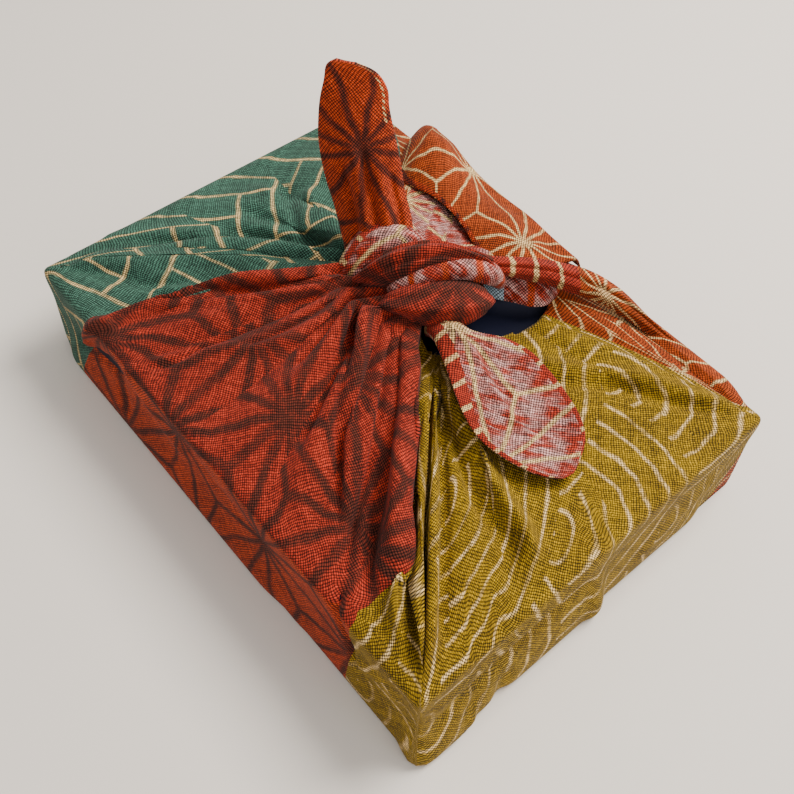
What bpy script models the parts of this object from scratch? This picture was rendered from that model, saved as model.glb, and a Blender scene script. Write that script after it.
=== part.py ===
"""A small flat box wrapped in one square of cloth, its two corners knotted on top.

The cloth is one draped skin around the box: a polar net of folds that runs from
the middle of the underside, out under the box, up its sides, over its upper edge
and in to the knot. The knot, the strap that leads to it and its two free ends are
joined to that skin. Sizes are in millimetres and become metres in one place.
"""
import math

import bmesh
import bpy
from mathutils import Vector

MM = 0.001

# The wrapped outline, outside of the cloth
WRAP_LENGTH = 240.0
WRAP_WIDTH = 175.0
WRAP_HEIGHT = 47.4
WRAP_CORNER = 6.0

# The cloth and the box inside it
CLOTH = 1.8
CLEARANCE = 0.4
TENT_WALL = 2.4
BOX_EDGE = 4.4
BOX_TOP = WRAP_HEIGHT - CLOTH - CLEARANCE

# The middle of the knot, seen from above
KNOT = (2.0, 20.0)
KNOT_CROWN = 67.0
CROWN_INWARD = 0.5
CROWN_UPWARD = 0.7

# Lines of cloth from one fold of the table to the next, and around each corner;
# then the line's shape from the upper edge of the box to the knot: over 1 sags,
# and a fold's rise under 1 is highest near the box's edge
LINES_BETWEEN = 2
CORNER_TURNS = (-6.0, -2.2, 2.2, 6.0)
LEAST_APART = 0.8
TENT_HOLLOW = 1.4
FOLD_LEAN = 0.85
TENT_STEPS = (0.1, 0.24, 0.4, 0.56, 0.72, 0.87, 1.0)

# Inset from the outline and height of the rings below the tent, outside and inside
RIM_INSET = WRAP_CORNER - 0.5
OUTER_STEPS = (
    (5.0, 0.0), (2.0, 0.6), (0.6, 4.0), (0.0, 16.0), (0.3, 30.0),
    (0.0, WRAP_HEIGHT - 6.0), (1.6, WRAP_HEIGHT - 1.6), (RIM_INSET, WRAP_HEIGHT),
)
INNER_STEPS = (
    (5.0, CLOTH), (CLOTH + 1.2, CLOTH + 0.6), (CLOTH, CLOTH + 4.0), (CLOTH, WRAP_HEIGHT - 6.0),
    (CLOTH + 1.0, WRAP_HEIGHT - CLOTH - 0.9), (RIM_INSET, WRAP_HEIGHT - CLOTH),
)

# Folds of the cloth on top, around the box from the left end of the front:
# side, place along it, knot end x, y, z, sideways bow, rise at mid length
FOLDS = (
    ("front", -92, -33, 1, 61, 7, 4.5),
    ("front", -80, -30, -1, 60, 5, 1.5),
    ("front", -66, -27, -2, 62, 2, 3.5),
    ("front", -52, -24, -3, 60, 0, 0.5),
    ("front", -34, -20, -4, 62, -2, 3.5),
    ("front", -14, -16, -5, 60, -2, 1.0),
    ("front", 8, -12, -6, 63, 0, 4.0),
    ("front", 30, -8, -6, 61, 0, 1.0),
    ("front", 44, -4, -6, 64, 1, 4.5),
    ("front", 58, 1, -5, 61, 1, 1.0),
    ("front", 70, 6, -4, 63, 1, 4.0),
    ("front", 80, 11, -3, 60, 1, 1.5),
    ("front", 91, 17, 0, 60, 2, 5.0),
    ("front", 97, 18, 5, 53, 2, 0.5),
    ("front", 108, 17, 8, 52, 0, 1.5),
    ("right", -84, 16, 11, 51, 0, 3.0),
    ("right", -72, 15, 14, 50, 0, 0.5),
    ("right", -58, 14, 17, 50, 0, 2.0),
    ("right", -42, 13, 21, 49, 0, 0.3),
    ("right", -20, 13, 26, 49, 0, 1.2),
    ("right", 10, 15, 32, 49, 0, 0.3),
    ("right", 40, 18, 38, 49, 0, 0.8),
    ("right", 62, 20, 45, 49, 0, 0.2),
    ("right", 78, 20, 51, 50, 0, 2.0),
    ("back", 108, 17, 55, 52, 0, 1.0),
    ("back", 84, 12, 57, 54, 0, 3.0),
    ("back", 56, 6, 55, 57, 0, 3.5),
    ("back", 34, 0, 51, 60, 0, 1.0),
    ("back", 12, -6, 48, 61, 0, 3.0),
    ("back", -14, -12, 45, 60, 0, 1.5),
    ("back", -38, -18, 43, 62, 0, 7.0),
    ("back", -66, -24, 40, 62, 4, 9.0),
    ("back", -84, -30, 35, 59, 4, 2.0),
    ("back", -104, -34, 31, 60, 2, 3.0),
    ("left", 76, -37, 27, 58, 0, 0.5),
    ("left", 50, -39, 23, 61, -2, 3.0),
    ("left", 24, -41, 18, 57, -3, 0.3),
    ("left", -2, -42, 14, 60, -4, 3.5),
    ("left", -26, -42, 10, 57, -4, 0.3),
    ("left", -50, -41, 7, 60, 0, 3.5),
    ("left", -70, -38, 5, 57, 3, 0.5),
    ("front", -112, -35, 3, 58, 6, 1.5),
)

# The gap beside the knot where the box shows, seen from above, and how high its cut goes
GAP_REACH = 77.0
GAP = (
    (11, 26), (13, 9), (18, 8), (21, 14), (19, 24), (21, 31), (28, 36), (32.5, 48),
    (31.5, 58), (26, 64), (17, 61), (12, 50),
)

# Flat or rolled bands, a row for each cross-section:
# left edge x, y, z, right edge x, y, z, bow of the middle, thickness
UPRIGHT_END = (
    (-30, 10, 60, -14, 28, 58, 2, 6),
    (-38, 14, 71, -21, 29, 68, 3, 5),
    (-48, 11, 82, -28, 32, 79, 4, 3.0),
    (-54, 11, 95, -34, 33, 92, 4, 2.4),
    (-58, 14, 110, -40, 34, 106, 4, 2.4),
    (-60, 18, 123, -45, 34, 120, 3, 2.4),
    (-59, 21, 131, -50, 32, 128, 2, 2.4),
)
LEAF_END = (
    (12, 10, 57, 18, 22, 58, 1, 6),
    (22, 6, 62, 29, 20, 62, 2, 4),
    (36, -1, 61, 38, 27, 61, -3, 2.4),
    (51, -7, 58, 54, 31, 58, -4, 2.4),
    (67, -9, 56, 69, 29, 56, -4, 2.4),
    (80, -5, 54, 82, 25, 54, -3, 2.4),
    (89, 1, 52, 90, 17, 53, -1, 2.4),
)
STRAP = (
    (56, 81, 49.5, 66, 74, 49.5, 1, 3),
    (42, 80, 55, 54, 70, 53, 3, 4),
    (26, 71, 60, 38, 58, 57, 3, 4),
    (14, 60, 62, 26, 46, 59, 3, 5),
    (2, 48, 63, 15, 35, 60, 3, 7),
    (-8, 38, 60, 6, 26, 58, 3, 7),
)
KNOT_CROSSING = (
    (-27, -2, 56, -12, -8, 58, 2, 8),
    (-25, 5, 65, -5, -3, 65, 4, 11),
    (-19, 17, 70, 1, 8, 69, 5, 14),
    (-9, 32, 71, 11, 20, 69, 5, 14),
    (4, 44, 68, 19, 30, 66, 4, 12),
    (12, 50, 61, 22, 36, 58, 2, 8),
)
KNOT_COLLAR = (
    (-34, 2, 57, -20, -4, 57, 2, 8),
    (-40, 12, 63, -27, 3, 65, 3, 9),
    (-40, 24, 66, -26, 14, 71, 4, 9),
    (-32, 36, 65, -19, 24, 71, 4, 9),
    (-18, 42, 60, -8, 30, 66, 3, 8),
)
KNOT_LOOP = (
    (-9, 6, 58, -5, -6, 56, 3, 8),
    (3, 14, 67, 5, -5, 60, 5, 12),
    (12, 24, 68, 18, 5, 60, 5, 13),
    (14, 36, 66, 26, 20, 59, 4, 12),
    (11, 42, 60, 22, 34, 56, 3, 8),
)
BAND_STEPS = 3
BAND_ACROSS = 6
BAND_EDGE = 1.6

CLOTH_COLOUR = (0.42, 0.05, 0.025, 1.0)
BOX_COLOUR = (0.003, 0.005, 0.028, 1.0)


def clear_scene():
    for old in list(bpy.data.objects):
        bpy.data.objects.remove(old, do_unlink=True)


def make_collection(name):
    collection = bpy.data.collections.new(name)
    bpy.context.scene.collection.children.link(collection)
    return collection


def make_material(name, colour, roughness):
    material = bpy.data.materials.new(name)
    material.use_nodes = True
    shader = material.node_tree.nodes["Principled BSDF"]
    shader.inputs["Base Color"].default_value = colour
    shader.inputs["Roughness"].default_value = roughness
    shader.inputs["Metallic"].default_value = 0.0
    return material


def object_from(name, bm, collection, triangles=True):
    bmesh.ops.recalc_face_normals(bm, faces=bm.faces)
    if triangles:
        bmesh.ops.triangulate(bm, faces=bm.faces)
    mesh = bpy.data.meshes.new(name)
    bm.to_mesh(mesh)
    bm.free()
    thing = bpy.data.objects.new(name, mesh)
    collection.objects.link(thing)
    return thing


def rounded(point, inset):
    """The point moved in from the rounded outline by the inset."""
    reach_x = WRAP_LENGTH / 2 - WRAP_CORNER
    reach_y = WRAP_WIDTH / 2 - WRAP_CORNER
    core = Vector((max(-reach_x, min(reach_x, point.x)), max(-reach_y, min(reach_y, point.y))))
    return core + (point - core).normalized() * (WRAP_CORNER - inset)


def perimeter_place(side, along):
    """Distance around the sharp rectangle from its front left corner."""
    half_x, half_y = WRAP_LENGTH / 2, WRAP_WIDTH / 2
    return {
        "front": along + half_x,
        "right": WRAP_LENGTH + along + half_y,
        "back": WRAP_LENGTH + WRAP_WIDTH + half_x - along,
        "left": 2 * WRAP_LENGTH + WRAP_WIDTH + half_y - along,
    }[side]


def perimeter_point(place):
    """The inverse of perimeter_place, as a point of the sharp rectangle."""
    half_x, half_y = WRAP_LENGTH / 2, WRAP_WIDTH / 2
    place %= 2 * (WRAP_LENGTH + WRAP_WIDTH)
    if place < WRAP_LENGTH:
        return Vector((place - half_x, -half_y))
    place -= WRAP_LENGTH
    if place < WRAP_WIDTH:
        return Vector((half_x, place - half_y))
    place -= WRAP_WIDTH
    if place < WRAP_LENGTH:
        return Vector((half_x - place, half_y))
    return Vector((-half_x, half_y - (place - WRAP_LENGTH)))


def cloth_lines():
    """Every line of the net: outline point, knot end, bow and rise.

    Lines stand at each fold, between the folds, and around each corner of the box.
    """
    around = 2 * (WRAP_LENGTH + WRAP_WIDTH)
    corners = (0, WRAP_LENGTH, WRAP_LENGTH + WRAP_WIDTH, 2 * WRAP_LENGTH + WRAP_WIDTH, around)
    turns = [corner + turn for corner in corners for turn in CORNER_TURNS]
    lines = []
    for number, fold in enumerate(FOLDS):
        following = FOLDS[(number + 1) % len(FOLDS)]
        start = perimeter_place(fold[0], fold[1])
        finish = perimeter_place(following[0], following[1])
        if finish < start:
            finish += around
        places = [start + (finish - start) * step / LINES_BETWEEN for step in range(LINES_BETWEEN)]
        inside = [turn for turn in turns if start < turn < finish]
        apart = [turn for turn in inside if min(abs(turn - place) for place in places) > LEAST_APART]
        for place in sorted(places + apart):
            share = (place - start) / (finish - start)
            values = [a + (b - a) * share for a, b in zip(fold[2:], following[2:])]
            lines.append((perimeter_point(place), Vector(values[:3]), values[3], values[4]))
    return lines


def tent_point(line, share):
    """A point of the outer face of the net on top of the box."""
    outline, knot_end, bow, rise = line
    rim = rounded(outline, RIM_INSET)
    flat_end = Vector((knot_end.x, knot_end.y))
    way = flat_end - rim
    sideways = Vector((-way.y, way.x)).normalized() * bow * math.sin(math.pi * share)
    spot = rim + way * share + sideways
    height = WRAP_HEIGHT + (knot_end.z - WRAP_HEIGHT) * share ** TENT_HOLLOW
    height += rise * math.sin(math.pi * share ** FOLD_LEAN)
    return Vector((spot.x, spot.y, height))


def net_rings():
    """Rings of the outer face of the net, from the underside to the knot."""
    lines = cloth_lines()
    rings = []
    for inset, height in OUTER_STEPS:
        rings.append([rounded(line[0], inset).to_3d() + Vector((0, 0, height)) for line in lines])
    for share in TENT_STEPS:
        rings.append([tent_point(line, share) for line in lines])
    crown = Vector((KNOT[0], KNOT[1], KNOT_CROWN))
    shrunk = []
    for point in rings[-1]:
        spot = point.lerp(crown, CROWN_INWARD)
        spot.z = point.z + (crown.z - point.z) * CROWN_UPWARD
        shrunk.append(spot)
    rings.append(shrunk)
    return rings, crown


def inner_rings(rings, crown):
    """Rings of the inner face: plain around the box, straight under the folds above it."""
    lines = cloth_lines()
    inner = []
    for inset, height in INNER_STEPS:
        inner.append([rounded(line[0], inset).to_3d() + Vector((0, 0, height)) for line in lines])
    for ring in rings[len(OUTER_STEPS):]:
        inner.append([Vector((spot.x, spot.y, max(spot.z - TENT_WALL, WRAP_HEIGHT - CLOTH)))
                      for spot in ring])
    return inner, crown - Vector((0, 0, TENT_WALL))


def closed_net(name, rings, crown, collection):
    """Rings as a closed mesh, fanned at the underside and at the crown."""
    bm = bmesh.new()
    made = [[bm.verts.new(point * MM) for point in ring] for ring in rings]
    bottom = bm.verts.new(Vector((0, 0, rings[0][0].z)) * MM)
    top = bm.verts.new(crown * MM)
    count = len(made[0])
    for index in range(count):
        after = (index + 1) % count
        bm.faces.new((bottom, made[0][after], made[0][index]))
        for lower, upper in zip(made, made[1:]):
            bm.faces.new((lower[index], lower[after], upper[after], upper[index]))
        bm.faces.new((made[-1][index], made[-1][after], top))
    return object_from(name, bm, collection)


def prism(name, outline, low, high, collection):
    bm = bmesh.new()
    floor = [bm.verts.new((x * MM, y * MM, low * MM)) for x, y in outline]
    base = bm.faces.new(floor)
    grown = bmesh.ops.extrude_face_region(bm, geom=[base])
    risen = [item for item in grown["geom"] if isinstance(item, bmesh.types.BMVert)]
    bmesh.ops.translate(bm, verts=risen, vec=(0, 0, (high - low) * MM))
    return object_from(name, bm, collection)


def between_rows(rows, steps):
    """A smooth run through the rows of a table, steps to each span."""
    run = []
    for index in range(len(rows) - 1):
        before = rows[max(index - 1, 0)]
        here = rows[index]
        there = rows[index + 1]
        beyond = rows[min(index + 2, len(rows) - 1)]
        for step in range(steps):
            t = step / steps
            run.append([
                0.5 * (2 * b + (c - a) * t + (2 * a - 5 * b + 4 * c - d) * t * t
                       + (3 * b - a - 3 * c + d) * t ** 3)
                for a, b, c, d in zip(before, here, there, beyond)
            ])
    run.append(list(rows[-1]))
    return run


def band_section(row, ahead):
    """The closed outline of a band where it crosses one row of its table."""
    left = Vector(row[0:3])
    right = Vector(row[3:6])
    bow, thickness = row[6], row[7]
    across = right - left
    facing = across.cross(ahead).normalized()
    upper = []
    lower = []
    for step in range(BAND_ACROSS + 1):
        place = 2 * step / BAND_ACROSS - 1
        middle = left + across * (place + 1) / 2 + facing * bow * (1 - place * place)
        half = max(thickness / 2 * math.sqrt(max(0.0, 1 - place * place)), BAND_EDGE / 2)
        upper.append(middle + facing * half)
        lower.append(middle - facing * half)
    return upper + lower[::-1]


def band(name, rows, collection):
    """A closed flat or rolled band that runs through the rows of its table."""
    run = between_rows(rows, BAND_STEPS)
    middles = [(Vector(row[0:3]) + Vector(row[3:6])) / 2 for row in run]
    bm = bmesh.new()
    sections = []
    for index, row in enumerate(run):
        ahead = middles[min(index + 1, len(run) - 1)] - middles[max(index - 1, 0)]
        sections.append([bm.verts.new(point * MM) for point in band_section(row, ahead)])
    count = len(sections[0])
    for near, far in zip(sections, sections[1:]):
        for index in range(count):
            after = (index + 1) % count
            bm.faces.new((near[index], near[after], far[after], far[index]))
    bm.faces.new(sections[0][::-1])
    bm.faces.new(sections[-1])
    return object_from(name, bm, collection)


def combine(target, other, operation):
    modifier = target.modifiers.new(other.name, "BOOLEAN")
    modifier.operation = operation
    modifier.object = other
    modifier.solver = "EXACT"
    other.hide_render = True
    other.display_type = "WIRE"


def build_cloth(parts, cutters):
    rings, crown = net_rings()
    inner, inner_crown = inner_rings(rings, crown)
    cloth = closed_net("furoshiki", rings, crown, parts)
    combine(cloth, closed_net("inside_of_cloth", inner, inner_crown, cutters), "DIFFERENCE")
    combine(cloth, prism("gap_by_knot", GAP, BOX_TOP, GAP_REACH, cutters), "DIFFERENCE")
    bands = {
        "knot_collar": KNOT_COLLAR,
        "knot_crossing": KNOT_CROSSING,
        "knot_loop": KNOT_LOOP,
        "strap": STRAP,
        "upright_end": UPRIGHT_END,
        "leaf_end": LEAF_END,
    }
    for name, rows in bands.items():
        combine(cloth, band(name, rows, cutters), "UNION")
    cloth.data.materials.append(make_material("printed_cotton_gauze", CLOTH_COLOUR, 0.9))
    return cloth


def build_box(parts):
    gap = CLOTH + CLEARANCE
    size = Vector((WRAP_LENGTH - 2 * gap, WRAP_WIDTH - 2 * gap, BOX_TOP - gap))
    bm = bmesh.new()
    bmesh.ops.create_cube(bm, size=1.0)
    bmesh.ops.scale(bm, verts=bm.verts, vec=size * MM)
    bmesh.ops.translate(bm, verts=bm.verts, vec=(0, 0, (gap + size.z / 2) * MM))
    box = object_from("box", bm, parts, triangles=False)
    bevel = box.modifiers.new("rounded_edges", "BEVEL")
    bevel.width = BOX_EDGE * MM
    bevel.segments = 3
    bevel.limit_method = "NONE"
    box.data.materials.append(make_material("navy_lacquer", BOX_COLOUR, 0.3))
    return box


def main():
    clear_scene()
    parts = make_collection("furoshiki_wrap")
    cutters = make_collection("cutters")
    build_cloth(parts, cutters)
    build_box(parts)


main()
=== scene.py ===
"""A furoshiki: a printed gauze cloth wrapped around a low box and tied on top.

The square cloth stands on one corner against the box. Its four corners, each
printed in another colour, come up over the four sides and meet in a knot.
Sizes in the tables are in millimetres, as x, y, z of the wrapped box's frame.
"""

import math

import bmesh
import bpy
import numpy as np
from bpy.props import FloatProperty, FloatVectorProperty, PointerProperty
from mathutils import Matrix, Vector


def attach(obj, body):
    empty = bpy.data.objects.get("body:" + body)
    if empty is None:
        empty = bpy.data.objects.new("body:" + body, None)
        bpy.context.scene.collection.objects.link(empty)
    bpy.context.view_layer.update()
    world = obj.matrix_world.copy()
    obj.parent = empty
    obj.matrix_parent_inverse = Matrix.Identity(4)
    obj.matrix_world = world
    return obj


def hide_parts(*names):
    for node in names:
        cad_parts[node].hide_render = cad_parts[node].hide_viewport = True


bl_info = {
    "name": "Furoshiki Wrap",
    "version": (1, 0, 0),
    "blender": (4, 5, 0),
    "location": "3D Viewport > Sidebar > Furoshiki",
    "description": "Dresses a knotted furoshiki wrap in printed cotton gauze",
    "category": "Object",
}

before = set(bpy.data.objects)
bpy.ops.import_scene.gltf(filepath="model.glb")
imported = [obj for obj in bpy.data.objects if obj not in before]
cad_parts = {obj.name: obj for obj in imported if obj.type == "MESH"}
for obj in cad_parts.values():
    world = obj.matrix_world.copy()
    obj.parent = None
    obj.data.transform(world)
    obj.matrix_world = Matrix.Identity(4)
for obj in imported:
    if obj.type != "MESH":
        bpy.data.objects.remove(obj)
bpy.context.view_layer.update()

MM = 0.001

# The wrapped box.
WRAP_LENGTH = 240.0
WRAP_WIDTH = 175.0
WRAP_HEIGHT = 47.4
WRAP_CORNER = 2.6
RIM_INSET = 5.5
WEAVE_TURN = math.radians(45)
FLOOR_REACH = 4.0
FLOOR_DROP = 0.0004

# The net of the wrapped cloth.
LINE_SPACING = 1.5
LEAST_LINES = 8
TENT_RINGS = 44
TENT_HOLLOW = 1.4
FOLD_LEAN = 0.85
BOW_LEAN = 0.65
CROWN = (2.0, 20.0, 64.0)

# Inset from the sharp outline and height of each ring on the sides.
SIDE_STEPS = (
    (40.0, 0.0), (3.0, 0.0), (0.6, 0.5), (-0.4, 3.0), (0.0, 16.0),
    (0.5, 30.0), (0.0, 41.6), (0.9, 46.0), (5.5, 47.8),
)
SIDE_SPLIT = 4

# Fold lines: side, place along it, knot end x, y, z, sideways bow, rise.
FOLDS = (
    ("front", -85, -34, 3, 58, -1, -2.5),
    ("front", -80, -33, 1, 61, 4, 5.5),
    ("front", -73, -30, -1, 60, 3, 2),
    ("front", -62, -27, -2, 62, 1, 3.5),
    ("front", -52, -24, -3, 60, 0, 0.5),
    ("front", -34, -20, -4, 62, -2, 3.5),
    ("front", -14, -16, -5, 60, -2, 1),
    ("front", 8, -12, -6, 63, 0, 4),
    ("front", 30, -8, -6, 61, 0, 1),
    ("front", 44, -4, -6, 64, 1, 4.5),
    ("front", 56, 1, -5, 61, -1, 1),
    ("front", 67, 6, -4, 63, -4, 4),
    ("front", 75, 11, -3, 60, -8, 1.5),
    ("front", 82, 17, 0, 60, -12, 5),
    ("front", 87, 16, 2, 52, -11, -0.5),
    ("front", 104, 17, 8, 52, -4, 1.5),
    ("right", -84, 16, 11, 51, 0, 3),
    ("right", -72, 15, 14, 50, 0, 0.5),
    ("right", -58, 14, 17, 50, 0, 2),
    ("right", -42, 13, 21, 49, 0, 0.3),
    ("right", -20, 13, 26, 49, 0, 1.2),
    ("right", 10, 15, 32, 49, 0, 0.3),
    ("right", 40, 18, 38, 49, 0, 0.8),
    ("right", 62, 20, 45, 49, 0, 0.2),
    ("right", 79, 20, 47, 49, 0, 2.2),
    ("back", 112, 20, 51, 50, -2, 1.6),
    ("back", 98, 17, 55, 52, 0, 2.6),
    ("back", 80, 12, 57, 54, 0, 3),
    ("back", 56, 6, 55, 57, 0, 3.5),
    ("back", 34, 0, 51, 60, 0, 1),
    ("back", 12, -6, 48, 61, 0, 3),
    ("back", -14, -12, 45, 60, 0, 1.5),
    ("back", -38, -18, 43, 60, 0, 3),
    ("back", -66, -24, 40, 60, 4, 5),
    ("back", -84, -30, 35, 59, 4, 6),
    ("back", -104, -34, 31, 60, 2, 5),
    ("left", 76, -37, 27, 58, 0, 3.5),
    ("left", 50, -39, 23, 61, -2, 4),
    ("left", 24, -41, 18, 57, -3, 0.3),
    ("left", -2, -42, 14, 60, -4, 3.5),
    ("left", -26, -42, 10, 57, -4, 0.3),
    ("left", -50, -41, 7, 60, 0, 3.5),
    ("left", -70, -38, 5, 57, 3, 0.5),
    ("front", -104, -35, 3, 58, 4, 0.5),
)

# Places around the outline where one printed corner gives way to the next, and
# how far along each edge has moved where it reaches the floor.
COLOUR_EDGES = (
    ("front", -82.5, "red", -15.0),
    ("front", 84.5, "mustard", 0.0),
    ("back", 112, "orange", -22.5),
    ("back", -96, "teal", 0.0),
)

# Creases on top: height, half width, then the line's x, y points.
CREASES = (
    (-3.0, 2.0, ((30, -24), (50, -46), (72, -68), (92, -84))),
    (-4.0, 3.0, ((-122, -76), (-114, -62), (-103, -49), (-88, -25), (-76, -11), (-60, 0), (-46, 8))),
    (3.6, 5.0, ((-113, -82), (-104, -65), (-93, -54), (-74, -31), (-52, -10))),
    (-2.4, 2.2, ((-103, -75), (-92, -66), (-82, -58), (-72, -45))),
    (-3.4, 2.8, ((-95, 18), (-84, 14), (-69, 7), (-57, 5), (-45, 7))),
    (3.2, 3.6, ((-84, 25), (-70, 19), (-55, 15), (-43, 13))),
    (2.0, 3.2, ((-54, -92), (-39, -66), (-18, -34), (-17, -8), (-19, 5))),
    (-2.8, 1.5, ((-28, -51), (-23, -38), (-20, -13), (-24, 4))),
    (-3.2, 1.5, ((-52, -90), (-42, -73), (-38, -54), (-29, -25), (-27, 0))),
    (2.0, 2.2, ((-84, -62), (-66, -45), (-46, -22), (-30, -2))),
    (-2.2, 1.5, ((-78, -66), (-60, -46), (-42, -24), (-27, -4))),
    (1.6, 2.0, ((-70, -66), (-54, -46), (-38, -26), (-26, -6))),
    (-2.6, 1.7, ((-6, -44), (-10, -26), (-14, -12), (-17, 2))),
    (2.0, 2.4, ((2, -52), (-3, -32), (-9, -14), (-14, 0))),
    (-2.2, 1.6, ((22, -62), (10, -40), (0, -22), (-10, -4))),
    (2.6, 2.4, ((-19, 6), (0, -13), (21, -34), (39, -51), (55, -66))),
    (-3.0, 1.5, ((-23, 6), (-2, -16), (18, -38), (37, -53), (59, -72))),
    (-4.2, 1.8, ((-9, 6), (12, -9), (31, -30), (49, -51), (61, -68), (70, -78))),
    (3.0, 3.2, ((-2, 8), (23, -10), (43, -29), (61, -46), (73, -62), (82, -78))),
    (-3.8, 1.8, ((56, -62), (64, -72), (72, -80), (80, -86))),
    (-3.6, 2.0, ((22, -3), (48, -26), (70, -46), (98, -70), (113, -83))),
    (6.4, 3.0, ((20, 2), (41, -15), (67, -37), (90, -57), (108, -74), (117, -83))),
    (-3.4, 2.0, ((30, -1), (63, -28), (87, -49), (110, -70))),
    (5.6, 3.4, ((37, -20), (61, -44), (77, -60), (93, -75), (110, -86))),
    (-3.6, 2.1, ((28, -1), (43, -8), (57, -15), (79, -24), (95, -27), (113, -38))),
    (6.0, 3.6, ((26, 3), (44, -5), (62, -10), (80, -16), (98, -20), (110, -27))),
    (-3.4, 1.9, ((48, 27), (59, 36), (71, 49), (83, 57), (96, 65), (114, 81))),
    (2.8, 3.4, ((42, 30), (58, 45), (79, 62), (98, 72), (114, 82))),
    (2.6, 3.8, ((-118, -70), (-100, -48), (-83, -30), (-65, -14), (-47, 3))),
    (-3.2, 2.2, ((-115, -58), (-98, -38), (-80, -20), (-62, -6), (-45, 6))),
    (-2.6, 2.2, ((-115, -84), (-101, -70), (-91, -62), (-82, -60), (-78, -51))),
    (-4.0, 4.0, ((-96, -8), (-78, 0), (-67, 3), (-58, 5), (-44, 8))),
    (2.4, 4.5, ((-104, 6), (-82, 12), (-64, 14), (-50, 16))),
    (-3.0, 3.5, ((-84, 34), (-70, 28), (-56, 22), (-46, 18))),
)

# Creases on the sides: height, half width, side, then the line's place and height.
SIDE_CREASES = (
    (3.2, 3.4, "front", ((-76, 52), (-80, 42), (-83, 32), (-80, 22))),
    (-3.8, 3.2, "front", ((-94, 18), (-82, 23), (-73, 27), (-58, 35))),
    (-1.4, 2.6, "front", ((-70, 38), (-62, 24), (-56, 8))),
    (-3.0, 2.0, "front", ((72, 54), (77, 42), (83, 30), (88, 16))),
    (1.4, 4.0, "front", ((-56, 46), (-40, 34), (-14, 26))),
    (-1.0, 3.0, "front", ((-20, 40), (10, 30), (40, 28))),
    (1.4, 3.0, "front", ((112, 34), (100, 30), (84, 22))),
    (1.6, 3.2, "right", ((-84, 30), (-66, 34), (-36, 38), (10, 40))),
    (-1.6, 2.6, "right", ((-84, 18), (-66, 22), (-36, 27), (0, 27))),
    (-1.8, 3.0, "right", ((-70, 2), (-66, 10), (-60, 16))),
    (1.2, 4.0, "right", ((20, 12), (50, 20), (80, 24))),
    (4.4, 15.0, "right", ((-96, 3), (-60, 5), (-15, 6), (6, 6))),
    (2.2, 15.0, "right", ((-8, 6), (30, 6), (84, 4))),
    (3.4, 12.0, "back", ((14, 44), (50, 45), (80, 45), (112, 45))),
    (2.0, 6.0, "right", ((-90, 2), (-76, 3), (-62, 4))),
    (-1.8, 4.0, "right", ((-50, -8), (-50, 4), (-48, 16))),
    (1.8, 12.0, "front", ((46, 2), (66, 2), (84, 3), (104, 3), (128, 3))),
    (3.8, 12.0, "front", ((-118, 2), (-60, 3), (0, 3), (62, 3))),
    (-2.0, 2.6, "left", ((-80, 44), (-66, 34), (-50, 16))),
    (1.8, 3.5, "left", ((-60, 46), (-40, 34), (-10, 24), (30, 20))),
    (1.5, 4.0, "back", ((-90, 36), (-50, 28), (0, 26))),
    (-1.5, 3.0, "back", ((90, 42), (50, 30), (10, 20))),
)

# The edge of the opening beside the knot, in plan.
GAP = (
    (3, 13), (7, 9), (12, 6.5), (18, 6), (21, 10), (21, 17), (20, 24), (22, 29.5),
    (28, 35), (31, 42), (32, 51), (31, 58), (28.6, 62), (26, 66), (22, 69), (17, 66),
    (13, 58), (10, 48), (8, 36), (4, 24),
)

# Bands: left x, y, z, right x, y, z, bow, thickness.
KNOT_CROSSING = (
    (-27.9, 9.7, 55, -23.4, 9.1, 52, 3, 7),
    (-23.6, 10.3, 64, -14.7, 7.1, 58, 4, 9),
    (-19.6, 13.1, 70, -8.9, 8.3, 64, 5, 10),
    (-16.4, 17.9, 74, -4.4, 11.5, 68, 5, 10.5),
    (-12.6, 23.8, 76, -0.9, 17, 70, 5, 10.5),
    (-6.4, 31.4, 76, 3.4, 25, 71, 4, 10),
    (1.8, 38.8, 74.5, 7.8, 35, 69, 3, 9),
    (8, 46.5, 70, 9.9, 45.6, 63, 3, 7),
    (11.7, 54.9, 64, 13.7, 52.7, 59, 2, 5),
)
KNOT_STRIP = (
    (-11.2, 9.3, 63, -8.8, 9.4, 58, 1, 3),
    (-8, 10.5, 69, -3.8, 9.6, 64, 2, 3.5),
    (-4.7, 14.5, 73, -0.5, 12.8, 67, 2, 3.5),
    (-0.7, 20, 76, 4, 17.3, 70, 2, 3.5),
    (2.8, 26.1, 77, 7.2, 23.2, 71, 2, 3.5),
    (6.3, 32.2, 77, 11.2, 28.9, 71, 2, 3.5),
    (9.8, 38.7, 75, 14.8, 33.7, 69, 2, 3.5),
    (12.7, 44, 71, 16.3, 38.8, 65, 2, 3.5),
    (14.7, 47.5, 64, 15.7, 44.1, 59, 1, 3),
)
KNOT_LOOP = (
    (-9.7, 7.1, 60, -8.2, 7, 53, 2, 5),
    (-4.9, 8.9, 67, -0.8, 5.8, 57, 4, 8),
    (0.1, 13.5, 71, 7.1, 8.3, 57, 5, 10),
    (5.3, 20.2, 72, 14.8, 12.9, 57, 5, 10.5),
    (9.5, 26.8, 71, 19.3, 19.3, 57, 5, 10.5),
    (12.1, 32.7, 68, 20.1, 26.6, 57, 4, 9),
    (12.9, 36.4, 62, 16.1, 34.3, 55, 2, 6),
)
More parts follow.
